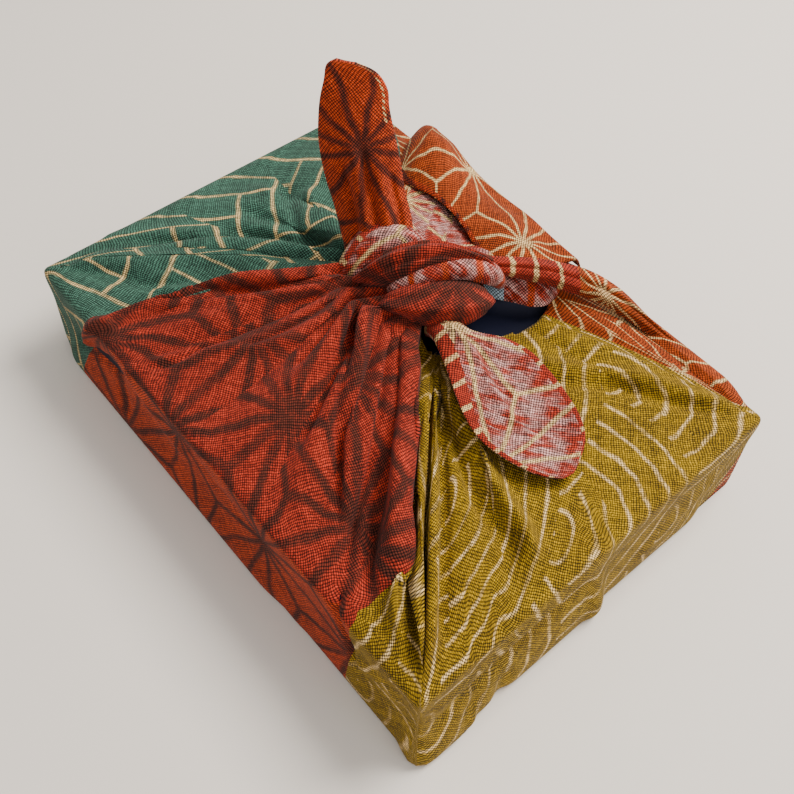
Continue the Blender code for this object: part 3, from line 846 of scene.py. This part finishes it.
def cloth_lines():
    """Every line of the net: place, knot end, bow, rise, and which crest it belongs to."""
    around = 2 * (WRAP_LENGTH + WRAP_WIDTH)
    places = [perimeter_place(fold[0], fold[1]) for fold in FOLDS]
    for index in range(1, len(places)):
        if places[index] < places[index - 1]:
            places[index] += around
    ends = np.array([fold[2:] for fold in FOLDS], float)
    count = len(FOLDS)
    rows = []
    for index in range(count):
        after = (index + 1) % count
        start, finish = places[index], places[after] + (around if after == 0 else 0)
        steps = max(LEAST_LINES, int(round((finish - start) / LINE_SPACING)))
        for step in range(steps):
            t = step / steps
            values = ends[index] + (ends[after] - ends[index]) * t
            values[3] = ends[index][3] + (ends[after][3] - ends[index][3]) * smoothstep(t)
            low, high = sorted((ends[index][4], ends[after][4]))
            from_trough = t if ends[index][4] < ends[after][4] else 1 - t
            values[4] = low + (high - low) * math.sin(math.pi / 2 * from_trough) ** 1.15
            crest = index if (ends[index][4] > ends[after][4]) else after
            rows.append((start + (finish - start) * t, *values, crest))
    return np.array(rows), np.array(places)


def crease_heights(spots, creases):
    """How far the listed creases lift or lower the points."""
    total = np.zeros(len(spots))
    for height, half_width, points in creases:
        line = smooth_run([(*point,) for point in points], 6)
        starts, spans = line[:-1], np.diff(line, axis=0)
        lengths = np.maximum((spans ** 2).sum(1), 1e-9)
        t = np.clip(((spots[:, None, :] - starts) * spans).sum(2) / lengths, 0, 1)
        nearest = starts + t[:, :, None] * spans
        apart = np.linalg.norm(spots[:, None, :] - nearest, axis=2)
        best = apart.argmin(1)
        distance = apart[np.arange(len(spots)), best]
        along = (best + t[np.arange(len(spots)), best]) / len(spans)
        fade = smoothstep(np.minimum(along, 1 - along) / 0.18)
        total += height * np.exp(-(distance / half_width) ** 2) * fade
    return total


def polygon_contains(outline, spots):
    """Which of the spots lie inside a closed outline."""
    inside = np.zeros(len(spots), bool)
    outline = np.array(outline, float)
    for (ax, ay), (bx, by) in zip(outline, np.roll(outline, -1, axis=0)):
        crosses = (ay > spots[:, 1]) != (by > spots[:, 1])
        reach = (bx - ax) * (spots[:, 1] - ay) / (by - ay + 1e-12) + ax
        inside ^= crosses & (spots[:, 0] < reach)
    return inside


def nearest_on_outline(outline, spots):
    """The closest point of a closed outline to each spot."""
    outline = np.array(outline, float)
    starts, spans = outline, np.roll(outline, -1, axis=0) - outline
    t = np.clip(((spots[:, None, :] - starts) * spans).sum(2) / (spans ** 2).sum(1), 0, 1)
    nearest = starts + t[:, :, None] * spans
    apart = np.linalg.norm(spots[:, None, :] - nearest, axis=2)
    best = apart.argmin(1)
    return nearest[np.arange(len(spots)), best]


def mesh_piece(name, points, faces, corner_places, materials, face_slots):
    """A smooth mesh in the row frame with its flat-cloth map, from millimetres."""
    mesh = bpy.data.meshes.new(name)
    mesh.from_pydata([tuple(point * MM) for point in points], [], [tuple(int(v) for v in face) for face in faces])
    flat = mesh.uv_layers.new(name="flat_cloth")
    flat.data.foreach_set("uv", np.asarray(corner_places, np.float32).ravel())
    for material in materials:
        mesh.materials.append(material)
    mesh.polygons.foreach_set("material_index", np.asarray(face_slots, np.int32))
    mesh.validate()
    outward = bmesh.new()
    outward.from_mesh(mesh)
    bmesh.ops.recalc_face_normals(outward, faces=outward.faces)
    outward.to_mesh(mesh)
    outward.free()
    mesh.shade_smooth()
    piece = bpy.data.objects.new(name, mesh)
    bpy.context.scene.collection.objects.link(piece)
    return piece


def along_lengths(grid):
    """Arc length of each point from the first row, down the columns of a grid."""
    steps = np.linalg.norm(np.diff(grid, axis=0), axis=2)
    return np.vstack([np.zeros(grid.shape[1]), np.cumsum(steps, axis=0)])


# ------------------------------------------------------------------ pieces


def net_points(lines):
    """Rings of the net from the underside up to the crown, and each ring's share of the tent."""
    around = 2 * (WRAP_LENGTH + WRAP_WIDTH)
    lean = np.zeros(len(lines))
    for side, along, _, shift in COLOUR_EDGES:
        apart = (lines[:, 0] - perimeter_place(side, along) + around / 2) % around - around / 2
        lean += shift * np.exp(-(apart / max(12.0, abs(shift) * 1.5)) ** 2)
    outline = np.array([perimeter_point(place) for place in lines[:, 0]])
    ends, bows, rises = lines[:, 1:4], lines[:, 4], lines[:, 5]
    rings, shares = [], []
    for inset, height in smooth_run(SIDE_STEPS, SIDE_SPLIT):
        height = min(max(height, 0.0), WRAP_HEIGHT + 0.4)
        leaning = [perimeter_point(place) for place in lines[:, 0] + lean * (1 - height / WRAP_HEIGHT)]
        spots = rounded(np.array(leaning), min(inset, RIM_INSET if height > 20 else 3.0))
        if height < 0.3 and inset > 3.0:
            spots = spots * (1 - (inset - 3.0) / 60.0)
        rings.append(np.column_stack([spots, np.full(len(spots), height)]))
        shares.append(0.0)
    rim = rounded(outline, RIM_INSET)
    way = ends[:, :2] - rim
    sideways = np.column_stack([-way[:, 1], way[:, 0]]) / np.linalg.norm(way, axis=1)[:, None]
    pleat = (rises - 2.0) * 0.5
    for step in range(1, TENT_RINGS + 1):
        t = step / TENT_RINGS
        share = t - 0.12 * math.sin(2 * math.pi * t) / (2 * math.pi)
        spots = rim + way * share + sideways * (bows * math.sin(math.pi * share ** BOW_LEAN))[:, None]
        height = WRAP_HEIGHT + (ends[:, 2] - WRAP_HEIGHT) * share ** TENT_HOLLOW
        height = height + rises * math.sin(math.pi * share ** FOLD_LEAN) + pleat * share ** 4
        rings.append(np.column_stack([spots, height]))
        shares.append(share)
    crown = np.array(CROWN)
    for pull in (0.3, 0.6):
        last = rings[-1]
        rings.append(last + (crown - last) * pull)
        shares.append(1.0)
    return np.array(rings), np.array(shares)


def build_wrapped_cloth():
    """The cloth around the box, from the underside up to the knot, as one thin closed mesh."""
    lines, fold_places = cloth_lines()
    grid, shares = net_points(lines)
    rows, columns = grid.shape[:2]

    # Creases lift the top along its own facing.
    ahead = np.gradient(grid, axis=0)
    across = (np.roll(grid, -1, axis=1) - np.roll(grid, 1, axis=1)) / 2
    facing = np.cross(across, ahead)
    facing /= np.maximum(np.linalg.norm(facing, axis=2), 1e-9)[:, :, None]
    heights = np.zeros((rows, columns))
    on_top = np.where(shares > 0)[0]
    for row in on_top:
        heights[row] = crease_heights(grid[row, :, :2], CREASES) * smoothstep(shares[row] / 0.08)
    around = 2 * (WRAP_LENGTH + WRAP_WIDTH)
    on_sides = [(height, half, tuple((perimeter_place(side, along), z) for along, z in points)) for height, half, side, points in SIDE_CREASES]
    for row in range(SIDE_SPLIT, on_top[0]):
        spots = np.column_stack([lines[:, 0] % around, grid[row, :, 2]])
        heights[row] = crease_heights(spots, on_sides) * smoothstep((grid[row, :, 2] + 0.8) / 1.6)
    grid = grid + facing * heights[:, :, None]
    grid[:, :, 2] = np.maximum(grid[:, :, 2], 0.0)
    grid[on_top, :, 2] = np.maximum(grid[on_top, :, 2], WRAP_HEIGHT - 0.6)

    # Flat places: plain on the sides, true to each fold's own surface on top.
    base = np.zeros((rows, columns, 2))
    lengths = along_lengths(grid)
    half_depth = np.empty(columns)
    side_u = np.empty(columns)
    for column, place in enumerate(lines[:, 0] % around):
        point = perimeter_point(place)
        if place < WRAP_LENGTH:
            side_u[column], half_depth[column] = point[0], WRAP_WIDTH / 2
        elif place < WRAP_LENGTH + WRAP_WIDTH:
            side_u[column], half_depth[column] = point[1], WRAP_LENGTH / 2
        elif place < 2 * WRAP_LENGTH + WRAP_WIDTH:
            side_u[column], half_depth[column] = -point[0], WRAP_WIDTH / 2
        else:
            side_u[column], half_depth[column] = -point[1], WRAP_LENGTH / 2
    start_length = lengths[SIDE_SPLIT]
    v = half_depth[None, :] + lengths - start_length[None, :]
    base[:, :, 0] = side_u[None, :]
    base[:, :, 1] = v
    crest = lines[:, 6].astype(int)
    crest_column = np.empty(columns, int)
    for column in range(columns):
        wanted = fold_places[crest[column]]
        gap = np.abs((lines[:, 0] - wanted + around / 2) % around - around / 2)
        crest_column[column] = gap.argmin()
    ring_steps = np.linalg.norm(np.roll(grid, -1, axis=1) - grid, axis=2)
    ring_run = np.hstack([np.zeros((rows, 1)), np.cumsum(ring_steps, axis=1)])
    total = ring_run[:, -1]
    ring_run = ring_run[:, :-1]

    def flat_place(row, column, owner):
        top = crest_column[owner]
        across_run = ring_run[row, column] - ring_run[row, top]
        across_run = (across_run + total[row] / 2) % total[row] - total[row] / 2
        plain = base[row, column]
        if shares[row] <= 0:
            return plain
        own = np.array((side_u[top] + across_run, base[row, top, 1]))
        weight = smoothstep(shares[row] / 0.25)
        if half_depth[top] != half_depth[column]:
            return plain
        return plain + (own - plain) * weight

    edge_places = [(perimeter_place(side, along), name) for side, along, name, _ in COLOUR_EDGES]
    slot_names = ("red", "mustard", "orange", "teal", "reverse", "shaded_red")
    hood = (perimeter_place("back", 22), perimeter_place("back", -90))

    def colour_at(place):
        name = edge_places[-1][1]
        for edge, label in edge_places:
            if place >= edge:
                name = label
        return name

    points = grid.reshape(-1, 3)
    faces, corners, slots = [], [], []
    for column in range(columns):
        after = (column + 1) % columns
        place = lines[column, 0] % around
        name = colour_at(place)
        for row in range(rows - 1):
            faces.append((row * columns + column, row * columns + after, (row + 1) * columns + after, (row + 1) * columns + column))
            corners += [flat_place(row, column, column), flat_place(row, after, column), flat_place(row + 1, after, column), flat_place(row + 1, column, column)]
            shown = name
            # Below the top, the red corner's sides take the more orange copy of the red, with painted shade.
            if name == "red" and row < on_top[0] - 6:
                shown = "shaded_red"
            if hood[0] < place < hood[1] and shares[row] > 0.34:
                shown = "reverse"
            slots.append(slot_names.index(shown))
    # The opening beside the knot, its edge drawn on to the outline.
    keep = []
    spots = points[:, :2].copy()
    high = points[:, 2] > 44
    inside = polygon_contains(GAP, spots) & high
    on_edge = nearest_on_outline(GAP, spots)
    for index, face in enumerate(faces):
        if not all(inside[v] for v in face):
            keep.append(index)
    touched = set(v for index in keep for v in faces[index] if inside[v])
    touched = sorted(touched)
    rim_heights = points[touched, 2]
    apart = np.linalg.norm(on_edge[touched][:, None] - on_edge[touched][None], axis=2)
    weights = np.exp(-(apart / 4.0) ** 2)
    points[touched, :2] = on_edge[touched]
    points[touched, 2] = np.maximum((weights @ rim_heights) / weights.sum(1) - 1.5, WRAP_HEIGHT - 1.0)
    faces = [faces[index] for index in keep]
    corners = np.array(corners).reshape(-1, 4, 2)[keep]
    slots = [slots[index] for index in keep]
    # Underside and crown.
    count = len(points)
    points = np.vstack([points, (0, 0, 0), CROWN])
    extra = []
    for column in range(columns):
        after = (column + 1) % columns
        name = slot_names.index(colour_at(lines[column, 0] % around))
        faces.append((count, after, column))
        extra.append([(0, 0), base[0, after], base[0, column]])
        slots.append(name)
        faces.append((count + 1, (rows - 1) * columns + column, (rows - 1) * columns + after))
        extra.append([base[-1, column], base[-1, column], base[-1, after]])
        slots.append(name)
    flat = np.vstack([corners.reshape(-1, 2), np.array(extra).reshape(-1, 2)])
    materials = cloth_materials()
    piece = mesh_piece("wrapped_cloth", points, faces, flat, [materials[key] for key in slot_names], slots)
    thick = piece.modifiers.new("Cloth thickness", "SOLIDIFY")
    thick.thickness = bpy.context.scene.furoshiki_cloth.thickness
    thick.offset = -1.0
    # Nothing of the cloth's thickness dips under the surface that it stands on.
    solid = bpy.data.meshes.new_from_object(piece.evaluated_get(bpy.context.evaluated_depsgraph_get()))
    piece.modifiers.clear()
    piece.data = solid
    for vertex in solid.vertices:
        vertex.co.z = max(vertex.co.z, 0.0)
    return piece


def build_band(name, table, steps, columns, materials, faces_of, origin=(0.0, 0.0), turn=0.0, pleats=(), rolled=False, toward=(0.0, 0.0, 1.0)):
    """A strip of cloth through the rows of a table.

    pleats are lengthwise: place across (0 to 1), half width, height, fade start and end.
    faces_of(across, along) names the finish of the upper side; the last of materials is the lower side.
    """
    run = smooth_run(table, steps)
    left, right = run[:, 0:3], run[:, 3:6]
    middles = (left + right) / 2
    ahead = np.gradient(middles, axis=0)
    across = right - left
    facing = np.cross(across, ahead)
    facing /= np.linalg.norm(facing, axis=1)[:, None]
    facing *= np.sign((facing * np.array(toward)).sum())
    s = (1 - np.cos(np.linspace(0, math.pi, columns + 1))) / 2
    s = 0.5 * s + 0.5 * np.linspace(0, 1, columns + 1)
    place = 2 * s - 1
    along = np.linspace(0, 1, len(run))
    bow = run[:, 6][:, None] * (1 - place ** 2)[None, :]
    for spot, half_width, height, start, end in pleats:
        fade = smoothstep((along - start) / 0.12) * smoothstep((end - along) / 0.12)
        bow = bow + height * fade[:, None] * np.exp(-((s - spot) / half_width) ** 2)[None, :]
    if rolled:
        half = np.maximum(run[:, 7][:, None] / 2 * np.sqrt(np.maximum(0, 1 - place ** 2))[None, :], 0.25)
    else:
        half = np.repeat(run[:, 7][:, None] / 2, columns + 1, axis=1)
        half = half * np.sqrt(np.clip(1 - np.abs(place) ** 16, 0.05, 1))[None, :]
    middle = left[:, None, :] + across[:, None, :] * s[None, :, None] + facing[:, None, :] * bow[:, :, None]
    upper = middle + facing[:, None, :] * half[:, :, None]
    lower = middle - facing[:, None, :] * half[:, :, None]
    rows = len(run)
    points = np.vstack([upper.reshape(-1, 3), lower.reshape(-1, 3)])
    lengths = along_lengths(middle).mean(1)
    widths = np.cumsum(np.hstack([np.zeros((rows, 1)), np.linalg.norm(np.diff(middle, axis=1), axis=2)]), axis=1)
    widths = widths - widths[:, -1:] / 2
    cos, sin = math.cos(turn), math.sin(turn)

    def flat_place(row, column):
        u, v = widths[row, column], lengths[row]
        return (origin[0] + u * cos - v * sin, origin[1] + u * sin + v * cos)

    stride = columns + 1
    below = rows * stride
    faces, corners, slots = [], [], []
    for row in range(rows - 1):
        for column in range(columns):
            spots = ((row, column), (row, column + 1), (row + 1, column + 1), (row + 1, column))
            faces.append([r * stride + c for r, c in spots])
            corners += [flat_place(r, c) for r, c in spots]
            slots.append(faces_of(s[column] + (s[1] / 2 if column else 0), along[row]))
            faces.append([below + r * stride + c for r, c in reversed(spots)])
            corners += [flat_place(r, c) for r, c in reversed(spots)]
            slots.append(len(materials) - 1)
    edge = [(row, 0) for row in range(rows)] + [(rows - 1, column) for column in range(1, stride)]
    edge += [(row, columns) for row in range(rows - 2, -1, -1)] + [(0, column) for column in range(columns - 1, 0, -1)]
    for (r, c), (r2, c2) in zip(edge, edge[1:] + edge[:1]):
        faces.append([r * stride + c, r2 * stride + c2, below + r2 * stride + c2, below + r * stride + c])
        corners += [flat_place(r, c), flat_place(r2, c2), flat_place(r2, c2), flat_place(r, c)]
        slots.append(0)
    return mesh_piece(name, points, faces, corners, materials, slots)


def whole(across, along):
    """One finish over a whole band."""
    return 0


def place_piece(piece, *nodes, slot="cloth"):
    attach(piece, "root")
    if nodes:
        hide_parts(*nodes)
    return piece


# --------------------------------------------------------------- operators


class FUROSHIKI_OT_wrapped_cloth(bpy.types.Operator):
    """Wraps the printed cloth around the box and gathers it up to the knot"""

    bl_idname = "furoshiki.wrapped_cloth"
    bl_label = "Wrapped Cloth"

    def execute(self, context):
        piece = place_piece(build_wrapped_cloth(), "furoshiki")
        return {"FINISHED"}


class FUROSHIKI_OT_knot(bpy.types.Operator):
    """Ties the four crossing bands of the knot"""

    bl_idname = "furoshiki.knot"
    bl_label = "Knot"

    def execute(self, context):
        cloth = cloth_materials()
        bands = (
            ("knot_collar", KNOT_COLLAR, ["reverse", "rim"], lambda across, along: 1 if 0.1 < across < 0.26 else 0, (30, 210), 0.0, ((0.3, 0.06, -0.9, 0, 1), (0.55, 0.06, -0.9, 0, 1), (0.8, 0.06, 0.7, 0, 1))),
            ("knot_loop", KNOT_LOOP, ["red"], whole, (-30, 215), 0.3, ((0.25, 0.07, -0.9, 0, 1), (0.5, 0.08, 0.8, 0, 1), (0.75, 0.06, -0.8, 0, 1))),
            ("knot_crossing", KNOT_CROSSING, ["red"], whole, (10, 205), 0.9, ((0.22, 0.05, -1.8, 0, 1), (0.42, 0.07, 1.2, 0, 1), (0.66, 0.05, -1.6, 0, 1))),
            ("knot_strip", KNOT_STRIP, ["banded"], whole, (60, 180), 0.0, ()),
        )
        for name, table, finishes, faces_of, origin, turn, pleats in bands:
            materials = [cloth[key] for key in (*finishes, finishes[0])]
            piece = build_band(name, table, 8, 24, materials, faces_of, origin, turn, pleats, rolled=True)
            place_piece(piece)
        return {"FINISHED"}


class FUROSHIKI_OT_strap(bpy.types.Operator):
    """Pulls the orange corner to the knot as a strap over the opening"""

    bl_idname = "furoshiki.strap"
    bl_label = "Strap"

    def execute(self, context):
        cloth = cloth_materials()
        pleats = ((0.25, 0.08, 0.8, 0, 1), (0.45, 0.05, -0.9, 0, 1), (0.75, 0.08, 0.6, 0, 1))
        finish = lambda across, along: 1 if along > 0.5 else 0
        strap = place_piece(build_band("strap", STRAP, 8, 24, [cloth["rim"], cloth["orange"], cloth["reverse"]], finish, (-64.1, 101.3), 0.0, pleats, rolled=True))
        inner = lambda across, along: 1 if along < 0.24 else 0
        lining = place_piece(build_band("strap_lining", STRAP_LINING, 8, 20, [cloth["banded"], cloth["pale_blue"], cloth["reverse"]], inner, (0, 20), 0.0, (), rolled=True))
        return {"FINISHED"}


class FUROSHIKI_OT_loose_fold(bpy.types.Operator):
    """Lays the loose hemmed fold of the orange corner behind the knot"""

    bl_idname = "furoshiki.loose_fold"
    bl_label = "Loose Fold"

    def execute(self, context):
        cloth = cloth_materials()

        def hemmed(across, along):
            return 1 if across > 0.965 else 0

        fold = place_piece(build_band("loose_fold", LOOSE_FOLD, 8, 36, [cloth["orange"], cloth["shaded_red"], cloth["reverse"]], hemmed, (22.2, 156.2), math.pi / 2, ((0.14, 0.12, 3.2, 0.08, 1.2),)))
        return {"FINISHED"}


class FUROSHIKI_OT_free_ends(bpy.types.Operator):
    """Adds the two free ends above the knot"""

    bl_idname = "furoshiki.free_ends"
    bl_label = "Free Ends"

    def execute(self, context):
        cloth = cloth_materials()
        upright = ((0.28, 0.05, -1.8, -0.2, 0.5), (0.42, 0.07, 1.4, -0.2, 0.6), (0.56, 0.045, -2.2, -0.2, 0.55), (0.72, 0.07, 1.4, -0.2, 0.5), (0.86, 0.04, -1.4, -0.2, 0.45))

        def stitched(across, along):
            return 1 if 0.9 < across < 0.94 and along > 0.6 else 0

        piece = build_band("upright_end", UPRIGHT_END, 8, 40, [cloth["shaded_red"], cloth["hem"], cloth["reverse"]], stitched, (14.6, 129.8), 0.0, upright, toward=(1.0, -1.0, 0.0))
        place_piece(piece)
        leaf = ((0.42, 0.05, 1.4, 0.05, 0.75), (0.52, 0.04, -0.9, 0.05, 0.7), (0.7, 0.05, -0.7, 0.1, 0.6))

        def finish(across, along):
            if across > 0.94 or along > 0.95 or (across < 0.05 and along > 0.5):
                return 1
            return 1 if across < 0.3 - 0.42 * along and along < 0.62 else 0

        piece = build_band("leaf_end", LEAF_END, 8, 44, [cloth["reverse"], cloth["rim"], cloth["red"]], finish, (0, -12), 0.0, leaf)
        place_piece(piece)
        return {"FINISHED"}


class FUROSHIKI_OT_box(bpy.types.Operator):
    """Gives the box inside the cloth its dark smooth finish"""

    bl_idname = "furoshiki.box"
    bl_label = "Box"

    def execute(self, context):
        settings = context.scene.furoshiki_box
        material = bpy.data.materials.new("box_lacquer")
        material.use_nodes = True
        board = NodeBoard(material.node_tree)
        shader = material.node_tree.nodes["Principled BSDF"]
        place = board.add("ShaderNodeTexCoord").outputs["Object"]
        cloudy = board.noise(place, 60.0, 3.0)
        colour = board.mix(cloudy, rgba(settings.colour), rgba([min(1.0, value * 1.6) for value in settings.colour]))
        board.feed(shader.inputs["Base Color"], colour)
        board.feed(shader.inputs["Roughness"], board.between(cloudy, 0.3, 0.7, settings.roughness, settings.roughness + 0.1))
        shader.inputs["Specular IOR Level"].default_value = 0.12
        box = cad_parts["box"]
        box.data.materials.clear()
        box.data.materials.append(material)
        return {"FINISHED"}


class FUROSHIKI_OT_studio(bpy.types.Operator):
    """Sets the pale floor, the soft lights and the camera"""

    bl_idname = "furoshiki.studio"
    bl_label = "Studio"

    def execute(self, context):
        settings = context.scene.furoshiki_studio
        mesh = bpy.data.meshes.new("studio_floor")
        corners = [(x * FLOOR_REACH, y * FLOOR_REACH, -FLOOR_DROP) for x, y in ((-1, -1), (1, -1), (1, 1), (-1, 1))]
        mesh.from_pydata(corners, [], [(0, 1, 2, 3)])
        floor = bpy.data.objects.new("studio_floor", mesh)
        context.scene.collection.objects.link(floor)
        material = bpy.data.materials.new("studio_floor")
        material.use_nodes = True
        shader = material.node_tree.nodes["Principled BSDF"]
        shader.inputs["Base Color"].default_value = rgba(settings.floor)
        shader.inputs["Roughness"].default_value = 0.95
        mesh.materials.append(material)

        world = bpy.data.worlds.new("studio")
        world.use_nodes = True
        world.node_tree.nodes["Background"].inputs["Color"].default_value = (1.0, 0.97, 0.94, 1.0)
        world.node_tree.nodes["Background"].inputs["Strength"].default_value = settings.ambient
        context.scene.world = world

        for name, place, size, power, colour in (
            ("key_light", (0.18, 0.62, 0.95), 0.55, settings.key_power, (1.0, 0.96, 0.9)),
            ("fill_light", (0.9, -0.1, 0.7), 0.8, settings.fill_power, (0.95, 0.97, 1.0)),
        ):
            light = bpy.data.lights.new(name, "AREA")
            light.shape = "SQUARE"
            light.size = size
            light.energy = power
            light.color = colour
            lamp = bpy.data.objects.new(name, light)
            lamp.location = place
            lamp.rotation_euler = (Vector((0, 0, 0.03)) - Vector(place)).to_track_quat("-Z", "Y").to_euler()
            context.scene.collection.objects.link(lamp)

        camera = bpy.data.cameras.new("camera")
        camera.lens = CAMERA_LENS
        camera.sensor_width = SENSOR
        camera.clip_start = 0.01
        viewer = bpy.data.objects.new("camera", camera)
        context.scene.collection.objects.link(viewer)
        axes = Matrix((CAMERA_RIGHT, CAMERA_UP, CAMERA_BACK)).transposed()
        viewer.matrix_world = Matrix.Translation(CAMERA_PLACE) @ axes.to_4x4()
        context.scene.camera = viewer
        return {"FINISHED"}


class FUROSHIKI_PT_panel(bpy.types.Panel):
    """Settings and steps of the wrap"""

    bl_idname = "FUROSHIKI_PT_panel"
    bl_label = "Furoshiki Wrap"
    bl_space_type = "VIEW_3D"
    bl_region_type = "UI"
    bl_category = "Furoshiki"

    def draw(self, context):
        layout = self.layout
        for owner, label in (
            (context.scene.furoshiki_cloth, "Cloth"),
            (context.scene.furoshiki_box, "Box"),
            (context.scene.furoshiki_studio, "Studio"),
        ):
            box = layout.box()
            box.label(text=label)
            for key in owner.__annotations__:
                box.prop(owner, key)
        for operator in STEPS:
            layout.operator(operator.bl_idname)


STEPS = (
    FUROSHIKI_OT_box,
    FUROSHIKI_OT_wrapped_cloth,
    FUROSHIKI_OT_loose_fold,
    FUROSHIKI_OT_strap,
    FUROSHIKI_OT_knot,
    FUROSHIKI_OT_free_ends,
    FUROSHIKI_OT_studio,
)
CLASSES = (FuroshikiClothSettings, FuroshikiBoxSettings, FuroshikiStudioSettings, *STEPS, FUROSHIKI_PT_panel)


def register():
    for item in CLASSES:
        bpy.utils.register_class(item)
    bpy.types.Scene.furoshiki_cloth = PointerProperty(type=FuroshikiClothSettings)
    bpy.types.Scene.furoshiki_box = PointerProperty(type=FuroshikiBoxSettings)
    bpy.types.Scene.furoshiki_studio = PointerProperty(type=FuroshikiStudioSettings)


def unregister():
    del bpy.types.Scene.furoshiki_studio
    del bpy.types.Scene.furoshiki_box
    del bpy.types.Scene.furoshiki_cloth
    for item in reversed(CLASSES):
        bpy.utils.unregister_class(item)


def main():
    register()
    bpy.ops.furoshiki.box()
    bpy.ops.furoshiki.wrapped_cloth()
    bpy.ops.furoshiki.loose_fold()
    bpy.ops.furoshiki.strap()
    bpy.ops.furoshiki.knot()
    bpy.ops.furoshiki.free_ends()
    bpy.ops.furoshiki.studio()


if __name__ == "__main__":
    main()
